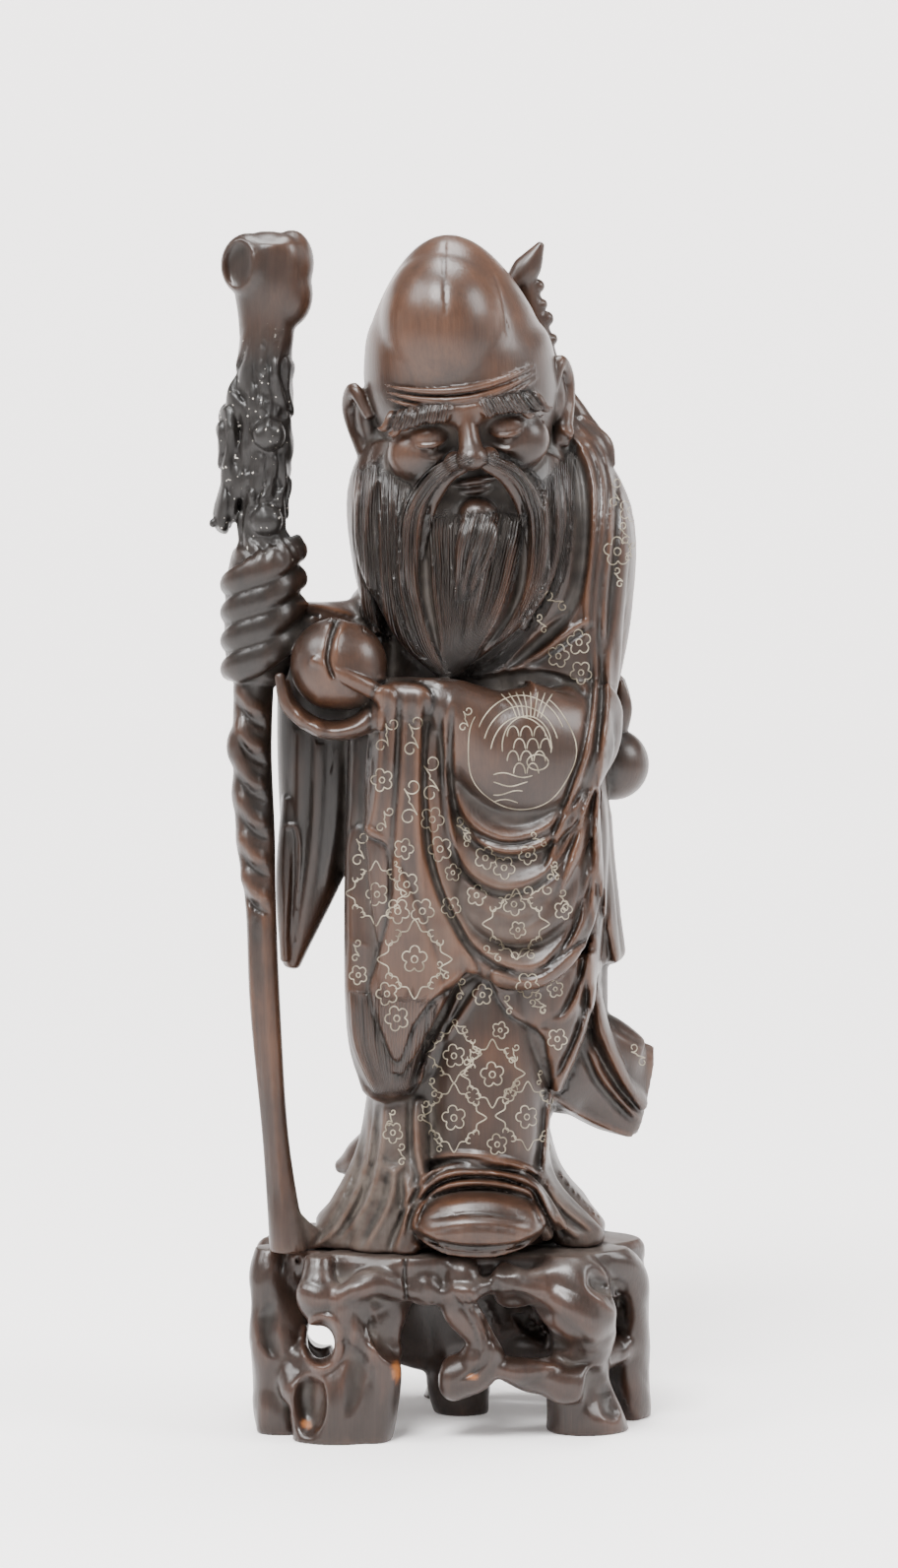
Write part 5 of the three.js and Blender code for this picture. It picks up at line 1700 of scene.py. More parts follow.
    def sinews(self) -> list[Stroke]:
        """The ridges, gouged hollows and drying cracks of the front of the roots, in the frame.

        Returns:
            Strokes of the frame.
        """
        ridges = [((264, 1298), (257, 1350), (268, 1402), (262, 1460)),
                  ((340, 1300), (352, 1344), (388, 1380), (392, 1440)),
                  ((455, 1300), (484, 1326), (498, 1362), (482, 1396)),
                  ((500, 1396), (530, 1392), (560, 1380), (590, 1376)),
                  ((520, 1306), (562, 1318), (600, 1346), (606, 1368)),
                  ((640, 1300), (648, 1350), (640, 1400), (648, 1450)),
                  ((300, 1300), (318, 1318), (352, 1310), (392, 1308))]
        hollows = [((314, 1396), (309, 1420), (312, 1446)), ((614, 1402), (618, 1424), (624, 1444)),
                   ((368, 1322), (372, 1350), (362, 1392), (352, 1440)),
                   ((520, 1330), (548, 1352), (580, 1370)),
                   ((596, 1300), (616, 1310), (632, 1330)), ((276, 1320), (272, 1350), (280, 1380))]
        flute = ((462, 1308), (478, 1330), (490, 1356), (490, 1384), (468, 1402))
        flutes = [[(x + 5 * k, y - 2 * k) for x, y in flute] for k in (-1, 0, 1)]
        cracks = [((412, 1276), (411, 1296), (413, 1320)), ((302, 1276), (303, 1286), (302, 1296))]
        turn = np.linspace(0, 2 * np.pi, 13)
        x, y, wide, high = self.hole
        rim = np.stack([x + wide * np.cos(turn), y + high * np.sin(turn)], -1)
        return [*(Stroke(path, 26, 1.3, 0.2, 0.3) for path in ridges),
                *(Stroke(path, 22, -2.2, 0, 0.35) for path in hollows),
                *(Stroke(path, 3.5, -1.0, 0, 0.2) for path in flutes),
                *(Stroke(path, 3.6, -1.9, 0, 0.1) for path in cracks),
                Stroke(rim, 10, 1.4, 0, 0.02)]

    def gnarls(self, places: Array) -> Array:
        """Height of slow lumps in the wood: three waves across each other, bent by the place.

        Args:
            places: millimetres.

        Returns:
            A height for each place.
        """
        x, y, z = (places / self.gnarl).T
        lumps = np.sin(x + 1.3 * np.sin(z + 0.7 * y)) * np.sin(1.2 * z + np.sin(1.4 * y)) * np.cos(y * 0.9)
        creases = np.abs(np.sin(1.7 * x + 2 * np.sin(0.9 * z + y) + 0.6 * z)) ** 0.7
        return self.swell * lumps + self.crease * creases - self.crease

    def block(self) -> Block:
        """The plinth's field, before the finer carving.

        Returns:
            The block.
        """
        block = Block(np.array([-84.0, -66, -4]), np.array([97.0, 61, self.height + 5]))
        for form in [self.deck(), *self.legs(), *self.runners(), *self.lobes()]:
            block.join(form)
        for form in [*self.scoops(), self.tunnel()]:
            block.cut(form)
        block.carve(lambda places, _: self.gnarls(places))
        return block

    def broken(self, sheet: Drawing, places: Array, faces: Array) -> Array:
        """Returns 1 where the wood is chipped and shows fresh: small ovals of the frame with crooked
        edges, where the reach is bent by a sine.

        Args:
            sheet: the frame.
            places: millimetres.
            faces: directions that the surface faces at the places.

        Returns:
            A value for each place.
        """
        x = sheet.left + np.arange(sheet.columns)[None, :]
        y = sheet.top + np.arange(sheet.rows)[:, None]
        chips = sum(((x - a) / w) ** 2 + ((y - b) / h) ** 2 + 0.4 * np.sin(x * 0.9 + y) < 1
                    for a, b, w, h in self.chips)
        return sheet.read(blurred(chips.astype(np.float32), 1), places, faces)

    def build(self) -> bpy.types.Object:
        """Makes the plinth, cut off flat below and above.

        Returns:
            The piece.
        """
        block = self.block()
        sheet = Drawing(View(), *self.window)
        for stroke in self.sinews():
            sheet.stroke(stroke)
        sheet.finish()
        sheet.see(block.surface()[0])
        block.carve(lambda places, faces: sheet.read(sheet.heights, places, faces))
        block.below(0)
        z = block.low[2] + CUBE * np.arange(block.distance.shape[2], dtype=np.float32)
        block.distance = np.maximum(block.distance, z - self.height)
        carving = Carving("rootwork_carved", block, self.triangles)
        made = carving.build()
        places, faces = carving.places(made)
        above = places[:, 2] > self.settled_from * self.height
        lying = self.settled * np.clip((faces[:, 2] - 0.5) / 0.4, 0, 1) * above
        # Painted shade in the drawn grooves, and dust that settles on what faces up.
        carving.weather(made, -self.groove_shade * sheet.read(sheet.grooves, places, faces), lying)
        carving.note(made, "broken", self.broken(sheet, places, faces))
        return made


def linear(colour: str) -> tuple[float, float, float, float]:
    """Turns an sRGB hex colour into linear light.

    Args:
        colour: six hex digits after a hash.

    Returns:
        Red, green, blue and 1.
    """
    parts = np.array([int(colour[k:k + 2], 16) for k in (1, 3, 5)]) / 255
    light = np.where(parts <= 0.04045, parts / 12.92, ((parts + 0.055) / 1.055) ** 2.4)
    return (*(float(v) for v in light), 1.0)


def placed(name: str, data: bpy.types.ID) -> bpy.types.Object:
    """Adds an object to the scene.

    Args:
        name: the object's name.
        data: its mesh, lamp or camera.

    Returns:
        The object.
    """
    made = bpy.data.objects.new(name, data)
    bpy.context.scene.collection.objects.link(made)
    return made


def plain(name: str) -> tuple[bpy.types.Material, bpy.types.NodeTree, bpy.types.Node]:
    """Starts a material.

    Args:
        name: the material's name.

    Returns:
        The material, its tree and its shader.
    """
    made = bpy.data.materials.new(name)
    made.use_nodes = True
    return made, made.node_tree, made.node_tree.nodes["Principled BSDF"]


def add(tree: bpy.types.NodeTree, kind: str, settings: dict | None = None,
        links: dict | None = None) -> bpy.types.Node:
    """Adds a node.

    Args:
        tree: the tree that it joins.
        kind: the node's type.
        settings: attributes by name, and values of its inputs by name or number.
        links: sockets that feed its inputs, by name or number.

    Returns:
        The node.
    """
    node = tree.nodes.new(kind)
    for key, value in (settings or {}).items():
        if isinstance(key, str) and hasattr(node, key):
            setattr(node, key, value)
        else:
            node.inputs[key].default_value = value
    for key, socket in (links or {}).items():
        tree.links.new(socket, node.inputs[key])
    return node


@dataclass(frozen=True)
class WaxedHardwood:
    """Dark rosewood-like hardwood, carved with gouges, stained, waxed and rubbed by hands.

    Wax gives it a soft gloss with a thin clear coat. High spots are rubbed through to reddish brown,
    and hollows keep dark stain and grey dust. The dark end of its ramp also stands for painted shade
    in hollows, in grooves and on forms that lie in shadow.
    """

    name: str
    stain: str = "#120c08"
    body: str = "#2a1b13"
    rubbed: str = "#4e3323"
    dust: str = "#514a44"
    bark: str = "#100d0b"
    lime: str = "#a39e96"
    fresh: str = "#7a4a26"
    grain: float = 0.9  # mm between pores across the grain
    streak: float = 14.0  # mm along the grain; real pores are half as wide, too fine to show
    mottle: float = 28.0  # mm of slow change of tone
    strand: float = 1.3  # mm between tool marks in the hair
    crooked: float = 14.0  # radians by which the tool marks drift with the slow noise
    patches: float = 0.6  # share of the slow noise in the tone
    streaking: float = 0.33  # share of the streaks
    marking: float = 0.11  # share of the tool marks
    pored: float = 0.55  # how far pores darken the wood
    speck: float = 7.0  # mm between patches of dust
    fleck: float = 1.8  # mm between flecks of lime on the bark
    limed: float = 0.735  # noise above which a fleck shows
    roughness: float = 0.36
    duller: float = 0.3  # roughness that full dust adds
    rougher: float = 0.06  # roughness that bark adds
    relief: float = 0.45  # mm that the bump stands for
    pore_relief: float = 0.22  # share of it in the pores
    mark_relief: float = 0.5  # share of it in the tool marks
    tones: tuple[float, float, float] = (0.2, 0.5, 0.9)  # of the stain, the body and the rubbed wood
    dusty: float = 0.4

    def material(self) -> bpy.types.Material:
        """Builds the material. A ramp from stain to rubbed wood is read at the piece's own wear and painted
        shade, plus shares of a slow noise, of streaks along the grain and of the lines of a sine across the
        hair.

        Returns:
            The material, which reads wear with painted shade, dust, hair, hair_across, bark and broken.
        """
        made, tree, shader = plain(self.name)
        place = add(tree, "ShaderNodeTexCoord").outputs["Object"]
        wear_and_shade, dust, hair, across, bark, broken = (
            add(tree, "ShaderNodeAttribute", {"attribute_name": name}).outputs["Fac"]
            for name in ("wear_and_shade", "dust", "hair", "hair_across", "bark", "broken"))
        along = add(tree, "ShaderNodeMapping", {"Scale": (1, 1, self.grain / self.streak)},
                    {"Vector": place}).outputs[0]
        pores = add(tree, "ShaderNodeTexNoise",
                    {"Scale": 1 / (self.grain * MM), "Detail": 4.0, "Roughness": 0.6},
                    {"Vector": along}).outputs["Fac"]
        streaks = add(tree, "ShaderNodeTexNoise",
                      {"Scale": 0.12 / (self.grain * MM), "Detail": 3.0, "Distortion": 0.6},
                      {"Vector": along}).outputs["Fac"]
        tone = add(tree, "ShaderNodeTexNoise", {"Scale": 1 / (self.mottle * MM), "Detail": 3.0},
                   {"Vector": place}).outputs["Fac"]
        # Tool marks of the hair, slightly uneven
        drift = add(tree, "ShaderNodeMath", {"operation": "MULTIPLY", 1: self.crooked},
                    {0: tone}).outputs[0]
        angle = add(tree, "ShaderNodeMath", {"operation": "MULTIPLY_ADD", 1: 2 * math.pi / self.strand},
                    {0: across, 2: drift}).outputs[0]
        wave = add(tree, "ShaderNodeMath", {"operation": "SINE"}, {0: angle}).outputs[0]
        marks = add(tree, "ShaderNodeMath", {"operation": "MULTIPLY"}, {0: wave, 1: hair}).outputs[0]
        # Colour
        slow = add(tree, "ShaderNodeMath", {"operation": "MULTIPLY_ADD", 1: self.patches},
                   {0: tone, 2: wear_and_shade}).outputs[0]
        fine = add(tree, "ShaderNodeMath", {"operation": "MULTIPLY_ADD", 1: self.streaking},
                   {0: streaks, 2: slow}).outputs[0]
        lit = add(tree, "ShaderNodeMath", {"operation": "MULTIPLY_ADD", 1: self.marking},
                  {0: marks, 2: fine}).outputs[0]
        # The ramp's dark end shows painted shade where the wear attribute carries it, besides the stain.
        ramp = add(tree, "ShaderNodeValToRGB", {}, {"Fac": lit})
        stops = ramp.color_ramp.elements
        low, middle, high = self.tones
        stops[0].position, stops[0].color = low, linear(self.stain)
        stops[1].position, stops[1].color = high, linear(self.rubbed)
        stops.new(middle).color = linear(self.body)
        pored = add(tree, "ShaderNodeMapRange",
                    {"From Min": 0.35, "From Max": 0.6, "To Min": 0.6, "To Max": 1.0}, {"Value": pores})
        grained = add(tree, "ShaderNodeMix", {"data_type": "RGBA", "blend_type": "MULTIPLY", 0: self.pored},
                      {6: ramp.outputs["Color"], 7: pored.outputs[0]})
        speck = add(tree, "ShaderNodeTexNoise", {"Scale": 1 / (self.speck * MM), "Detail": 2.0},
                    {"Vector": place})
        patchy = add(tree, "ShaderNodeMapRange",
                     {"From Min": 0.25, "From Max": 0.65, "To Min": 0.0, "To Max": self.dusty},
                     {"Value": speck.outputs["Fac"]})
        settled = add(tree, "ShaderNodeMath", {"operation": "MULTIPLY", "use_clamp": True},
                      {0: dust, 1: patchy.outputs[0]})
        dusted = add(tree, "ShaderNodeMix", {"data_type": "RGBA", 7: linear(self.dust)},
                     {0: settled.outputs[0], 6: grained.outputs[2]})
        barked = add(tree, "ShaderNodeMix", {"data_type": "RGBA", 7: linear(self.bark)},
                     {0: bark, 6: dusted.outputs[2]})
        fleck = add(tree, "ShaderNodeTexNoise", {"Scale": 1 / (self.fleck * MM), "Detail": 1.0},
                    {"Vector": place})
        spot = add(tree, "ShaderNodeMath", {"operation": "GREATER_THAN", 1: self.limed},
                   {0: fleck.outputs["Fac"]})
        limy = add(tree, "ShaderNodeMath", {"operation": "MULTIPLY"}, {0: spot.outputs[0], 1: bark})
        limed = add(tree, "ShaderNodeMix", {"data_type": "RGBA", 7: linear(self.lime)},
                    {0: limy.outputs[0], 6: barked.outputs[2]})
        chipped = add(tree, "ShaderNodeMix", {"data_type": "RGBA", 7: linear(self.fresh)},
                      {0: broken, 6: limed.outputs[2]})
        tree.links.new(chipped.outputs[2], shader.inputs["Base Color"])
        # Gloss: duller where dust lies and on the bark
        dull = add(tree, "ShaderNodeMath", {"operation": "MULTIPLY_ADD", 1: self.duller, 2: self.roughness},
                   {0: dust}).outputs[0]
        rough = add(tree, "ShaderNodeMath", {"operation": "MULTIPLY_ADD", 1: self.rougher},
                    {0: bark, 2: dull}).outputs[0]
        tree.links.new(rough, shader.inputs["Roughness"])
        shader.inputs["Specular IOR Level"].default_value = 0.4
        shader.inputs["Coat Weight"].default_value = 0.12
        shader.inputs["Coat Roughness"].default_value = 0.2
        shader.inputs["IOR"].default_value = 1.45
        cut = add(tree, "ShaderNodeMath", {"operation": "MULTIPLY", 1: self.pore_relief},
                  {0: pores}).outputs[0]
        height = add(tree, "ShaderNodeMath", {"operation": "MULTIPLY_ADD", 1: self.mark_relief},
                     {0: marks, 2: cut}).outputs[0]
        bump = add(tree, "ShaderNodeBump", {"Strength": 0.85, "Distance": self.relief * MM},
                   {"Height": height})
        tree.links.new(bump.outputs[0], shader.inputs["Normal"])
        return made


@dataclass(frozen=True)
class TarnishedSilver:
    """Silver wire, drawn, hammered into a cut and rubbed flush: pale grey, a little dull."""

    name: str = "silver_wire_tarnished"
    bright: str = "#8f8776"
    dull: str = "#5e5546"
    patch: float = 9.0  # mm between bright and dull

    def material(self) -> bpy.types.Material:
        """Builds the material, with a slow noise between bright and dull.

        Returns:
            The material.
        """
        made, tree, shader = plain(self.name)
        place = add(tree, "ShaderNodeTexCoord").outputs["Object"]
        spots = add(tree, "ShaderNodeTexNoise", {"Scale": 1 / (self.patch * MM), "Detail": 4.0},
                    {"Vector": place})
        ramp = add(tree, "ShaderNodeValToRGB", links={"Fac": spots.outputs["Fac"]})
        ramp.color_ramp.elements[0].position, ramp.color_ramp.elements[0].color = 0.3, linear(self.dull)
        ramp.color_ramp.elements[1].position, ramp.color_ramp.elements[1].color = 0.6, linear(self.bright)
        tree.links.new(ramp.outputs["Color"], shader.inputs["Base Color"])
        shader.inputs["Metallic"].default_value = 0.35
        shader.inputs["Roughness"].default_value = 0.5
        return made


@dataclass
class Carving:
    """A carved piece: its mesh from a block, thinned to a budget, with attributes for its finish and
    painted shade.
    """

    name: str
    block: Block
    triangles: int
    rubbed: float = 0.11  # wear on a full ridge
    ridge: float = 0.7  # mm
    hollow_stain_and_shade: float = 0.3  # darker in a full hollow: stain kept there, and painted shade
    shallow: float = 0.15  # bend below which a surface counts as flat
    hollow: float = 2.4  # mm
    dusty: float = 1.6  # mm below those round it that fill with dust
    blurs: tuple[int, int, int] = (1, 3, 7)  # steps of two cubes

    def build(self) -> bpy.types.Object:
        """Makes the surface, thins its flat stretches and smooths its shading.

        Returns:
            The piece.
        """
        points, quads = self.block.surface()
        mesh = bpy.data.meshes.new(self.name)
        mesh.vertices.add(len(points))
        mesh.vertices.foreach_set("co", (points * MM).astype(np.float32).ravel())
        mesh.loops.add(quads.size)
        mesh.loops.foreach_set("vertex_index", quads.astype(np.int32).ravel())
        mesh.polygons.add(len(quads))
        mesh.polygons.foreach_set("loop_start", np.arange(0, quads.size, 4, dtype=np.int32))
        mesh.update(calc_edges=True)
        made = placed(self.name, mesh)
        if 2 * len(quads) > self.triangles:
            thin = made.modifiers.new("thin", "DECIMATE")
            thin.ratio = self.triangles / (2 * len(quads))
            dense = mesh
            thinned = made.evaluated_get(bpy.context.evaluated_depsgraph_get())
            made.data = bpy.data.meshes.new_from_object(thinned)
            made.modifiers.clear()
            bpy.data.meshes.remove(dense)
        made.data.name = self.name
        made.data.validate()
        made.data.shade_smooth()
        return made

    def note(self, made: bpy.types.Object, name: str, values: Array) -> None:
        """Writes a value for each point of the piece."""
        layer = made.data.attributes.new(name, "FLOAT", "POINT")
        layer.data.foreach_set("value", values.astype(np.float32))

    def places(self, made: bpy.types.Object) -> tuple[Array, Array]:
        """Reads the points of the piece.

        Args:
            made: the piece.

        Returns:
            Places in millimetres and the directions that they face.
        """
        places, faces = (np.empty(len(made.data.vertices) * 3, np.float32) for _ in range(2))
        made.data.vertices.foreach_get("co", places)
        made.data.vertex_normals.foreach_get("vector", faces)
        return places.reshape(-1, 3) / MM, faces.reshape(-1, 3)

    def weather(self, made: bpy.types.Object, more: Array, grey: Array) -> None:
        """Notes where hands wear the piece, where it is darkened as painted shade and where dust stays.
        The blurred distance at a point is above 0 on a ridge and below 0 in a hollow. Wear grows with it,
        and painted shade darkens the point as far as a wider blur says that it lies back in a recess.

        Args:
            made: the piece.
            more: wear and painted shade from elsewhere, for each point.
            grey: dust from elsewhere, for each point.
        """
        places, _ = self.places(made)
        near, far, wide = (self.block.read(self.block.softened(radius), places) for radius in self.blurs)
        # Painted shade in recesses, on top of the stain kept there: darker as far as the wide blur says the
        # point lies back.
        back = np.clip(self.shallow - wide / self.hollow, 0, 1)
        wear_and_shade = self.rubbed * np.clip(near / self.ridge, -1, 1) - self.hollow_stain_and_shade * back + more
        self.note(made, "wear_and_shade", wear_and_shade)
        self.note(made, "dust", np.clip(-far / self.dusty, 0, 1) + grey)


@dataclass(frozen=True)
class SilverWire:
    """Wire let into the robe: blossoms, scrolls, knotted diamonds and a roundel, in the frame."""

    width: float = 0.58  # mm
    proud: float = 0.16  # mm above the wood
    step: float = 1.5  # pixels between points of a wire
    gap: float = 3.5  # mm between two points that part a wire
    sides: int = 5  # points round a wire
    blossoms: Places = (
        (640, 518, 12), (627, 560, 15), (567, 666, 12), (588, 652, 13), (590, 683, 12), (388, 792, 12),
        (410, 862, 11), (536, 868, 10), (413, 898, 13), (404, 925, 13), (429, 925, 13), (383, 908, 12),
        (421, 974, 14), (393, 1009, 12), (403, 1034, 13), (458, 921, 11), (460, 886, 9), (484, 909, 11),
        (461, 1135, 13), (500, 1091, 13), (535, 1134, 12), (461, 1072, 12), (566, 1055, 11), (564, 1004, 9),
        (536, 1000, 13), (399, 1150, 11), (439, 832, 13), (447, 862, 13), (364, 990, 10), (493, 871, 12),
        (512, 881, 12), (522, 918, 12), (572, 924, 10), (526, 944, 9), (490, 1010, 11), (508, 1046, 9),
        (505, 1162, 11))
    scrolls: Places = (
        (625, 500, 26, 80), (634, 541, 20, 60), (628, 586, 18, 60), (564, 610, 24, 20), (550, 633, 18, 50),
        (393, 746, 32, 100), (420, 747, 36, 85), (438, 790, 40, 75), (417, 814, 40, 80),
        (391, 832, 24, 100), (471, 842, 24, 45), (473, 730, 22, 90), (547, 852, 18, 20), (573, 914, 20, 60),
        (546, 904, 26, -20), (565, 886, 14, 60), (366, 862, 30, 85), (362, 965, 20, 80),
        (440, 1104, 18, 60), (520, 1104, 18, 120), (478, 1072, 20, 100), (548, 1094, 14, 80),
        (445, 1160, 18, 60), (468, 1004, 20, 80), (450, 985, 18, 40), (546, 1022, 18, 20),
        (648, 1071, 22, 40), (404, 880, 12, 40), (474, 850, 18, 70), (561, 884, 18, 90), (500, 968, 20, 20),
        (531, 970, 22, -20), (549, 1018, 20, 50), (516, 1020, 18, 60), (397, 1135, 16, 90),
        (408, 1172, 20, 70), (430, 1128, 20, 90), (522, 1070, 18, 90), (556, 1160, 16, 60),
        (467, 1042, 18, 20), (640, 560, 18, 90))
    diamonds: Places = ((421, 974, 38), (461, 1135, 33), (500, 1090, 33), (536, 1133, 33), (461, 1070, 28),
                        (524, 938, 34), (382, 907, 31))
    roundel: tuple[float, float, float, float] = (529, 762, 55, 60)

    def blossom(self, x: float, y: float, r: float) -> list[Array]:
        """Five petals, where the reach swells with the size of the cosine of 2.5 angles, and a ring in
        the middle.

        Args:
            x: column.
            y: row.
            r: reach of a petal.

        Returns:
            Lines of pixels.
        """
        a = np.linspace(0, 2 * np.pi, 61) + x
        reach = r * (0.58 + 0.42 * np.abs(np.cos(2.5 * (a - x))) ** 0.6)
        ring = np.linspace(0, 2 * np.pi, 13)
        return [np.stack([x + reach * np.sin(a) * 0.94, y - reach * np.cos(a)], -1),
                np.stack([x + 0.25 * r * np.sin(ring), y + 0.27 * r * np.cos(ring)], -1)]

    def scroll(self, x: float, y: float, size: float, turn: float) -> list[Array]:
        """A cloud scroll: two spirals of a turn, joined as an S with a nick.

        Args:
            x: column.
            y: row.
            size: length.
            turn: degrees.

        Returns:
            Lines of pixels.
        """
        t = np.linspace(0, 1, 18)
        a = -0.5 * np.pi - 2.1 * np.pi * t
        r = size * (0.23 - 0.14 * t)
        curl = np.stack([size * 0.38 + r * np.cos(a), r * np.sin(a) + size * 0.12], -1)
        line = np.vstack([curl[::-1], [[size * 0.08, -size * 0.02], [0, size * 0.06], [-size * 0.06, 0]],
                          -curl])
        c, s = math.cos(math.radians(turn)), math.sin(math.radians(turn))
        return [line @ np.array([[c, s], [-s, c]]) + np.array([x, y])]

    def diamond(self, x: float, y: float, r: float) -> list[Array]:
        """A diamond of wavy sides, with curls at the middle of each.

        Args:
            x: column.
            y: row.
            r: half its width.

        Returns:
            Lines of pixels.
        """
        a = np.linspace(0, 2 * np.pi, 97)
        reach = r / (np.abs(np.cos(a)) + np.abs(np.sin(a))) ** 0.85 * (1 + 0.08 * np.cos(12 * a))
        lines = [np.stack([x + reach * np.cos(a) * 0.94, y + reach * np.sin(a)], -1)]
        ring = np.linspace(0, 1.5 * np.pi, 11)
        curl = r * (0.12 - 0.01 * ring)
        for k in range(8):
            b = (k // 2 + 0.5) * np.pi / 2 + 0.19 * (-1) ** k
            lines.append(np.stack([x + 0.8 * r * math.cos(b) + curl * np.cos(b + ring * (-1) ** k),
                                   y + 0.82 * r * math.sin(b) + curl * np.sin(b + ring * (-1) ** k)], -1))
        return lines

    def bird(self) -> list[Array]:
        """The roundel: a rim, raised wings, a fan of tail feathers, rows of scales and waves.

        Returns:
            Lines of pixels.
        """
        x, y, rx, ry = self.roundel
        rim = np.radians(np.linspace(-60, 215, 60))
        lines = [np.stack([x + rx * np.cos(rim) * (1 + 0.03 * np.cos(5 * rim)), y + ry * np.sin(rim)], -1)]
        for side in (-1, 1):
            for k in range(3):
                a = np.radians(np.linspace(205 - 6 * k, 282 - 6 * k, 20))
                lines.append(np.stack([x - side * (rx - 7 - 8 * k) * np.cos(a) * 0.98,
                                       y + 4 * k + (ry - 4 - 7 * k) * np.sin(a)], -1))
        fan = np.linspace(-0.5, 0.5, 8)
        lines += [np.array([[x + 6 + 52 * u, y - 60 + 10 * u * u], [x + 8 + 34 * u, y - 46],
                            [x + 8 + 24 * u, y - 33]]) for u in fan]
        body = np.radians(np.linspace(170, 372, 30))
        lines.append(np.stack([x + 6 + 25 * np.cos(body), y - 4 + 31 * np.sin(body)], -1))
        arch = np.radians(np.linspace(180, 360, 9))
        for row in range(4):
            for k in range(3 - row // 3):
                cx = x - 8 + 13.5 * k + 6.5 * (row % 2)
                lines.append(np.stack([cx + 6 * np.cos(arch), y - 14 + 12.5 * row + 11 * np.sin(arch)], -1))
        ring = np.linspace(0, 2 * np.pi, 25)
        lines.append(np.stack([x + 17 + 11 * np.cos(ring), y + 12 + 8 * np.sin(ring)], -1))
        for k in range(4):
            u = np.linspace(-1, 1, 9)
            lines.append(np.stack([x - 8 + 20 * u, y + 25 + 9 * k + 2.5 * np.sin(3 * u + 2 * k)],
                                  -1)[: 9 - k])
        return lines

    def lines(self) -> list[Array]:
        """Every wire of the robe.

        Returns:
            Lines of pixels.
        """
        found = [line for spot in self.blossoms for line in self.blossom(*spot)]
        found += [line for spot in self.scrolls for line in self.scroll(*spot)]
        found += [line for spot in self.diamonds for line in self.diamond(*spot)]
        return found + self.bird()

    def draped(self, line: Array, view: View, tree: BVHTree) -> list[tuple[Array, Array]]:
        """Lays a line on the wood as the eye sees it, broken where the wood falls away.

        Args:
            line: pixels.
            view: the frame.
            tree: the surface, in millimetres.

        Returns:
            Stretches of places and of the wood's normals there.
        """
        long = np.concatenate([[0], np.cumsum(np.linalg.norm(np.diff(line, axis=0), axis=1))])
        even = np.linspace(0, long[-1], max(int(long[-1] / self.step), 3))
        pixels = np.stack([np.interp(even, long, line[:, k]) for k in range(2)], -1)
        hits = [tree.ray_cast(view.eye, way) for way in view.rays(pixels)]
        stretches, run = [], []
        for hit in hits:
            if hit[0] is None or (run and (hit[0] - run[-1][0]).length > self.gap):
                stretches.append(run)
                run = []
            if hit[0] is not None:
                run.append(hit)
        stretches.append(run)
        return [(np.array([h[0] for h in run]), np.array([h[1] for h in run])) for run in stretches
                if len(run) > 2]

    def tube(self, places: Array, normals: Array) -> Shell:
        """Makes a flat tube along a stretch, its ends drawn in.

        Args:
            places: its points, in millimetres.
            normals: the wood's normals there.

        Returns:
            The shell.
        """
        normals[1:-1] = (normals[:-2] + 2 * normals[1:-1] + normals[2:]) / 4
        places[1:-1] = (places[:-2] + 2 * places[1:-1] + places[2:]) / 4
        normals /= np.linalg.norm(normals, axis=1)[:, None]
        ahead = np.gradient(places, axis=0)
        side = np.cross(ahead, normals)
        side /= np.linalg.norm(side, axis=1)[:, None] + 1e-9
        angle = 2 * np.pi * np.arange(self.sides) / self.sides + 0.3
        wide = np.full(len(places), self.width / 2)
        wide[[0, -1]] *= 0.4
        rings = (places[:, None] + side[:, None] * (wide[:, None] * np.sin(angle))[..., None]
                 + normals[:, None] * (self.proud * (1.2 * np.cos(angle) - 0.1))[None, :, None])
        return skin_rings(rings)

    def build(self, view: View, carved: bpy.types.Object) -> bpy.types.Object:
        """Makes all the wires as one piece on the carved surface.

        Args:
            view: the frame.
            carved: the figure.

        Returns:
            The piece.
        """
        mesh = carved.data
        places = np.empty(len(mesh.vertices) * 3, np.float32)
        mesh.vertices.foreach_get("co", places)
        tree = BVHTree.FromPolygons((places.reshape(-1, 3) / MM).tolist(),
                                    [tuple(p.vertices) for p in mesh.polygons])
        points, quads, tris, count = [], [], [], 0
        for line in self.lines():
            for stretch in self.draped(line, view, tree):
                shell = self.tube(*stretch)
                points.append(shell.points)
                quads += (shell.quads + count).tolist()
                tris += (shell.tris + count).tolist()
                count += len(shell.points)
        mesh = bpy.data.meshes.new("robe_wire")
        mesh.from_pydata((np.vstack(points) * MM).tolist(), [], quads + tris)
        mesh.shade_smooth()
        return placed("robe_wire", mesh)


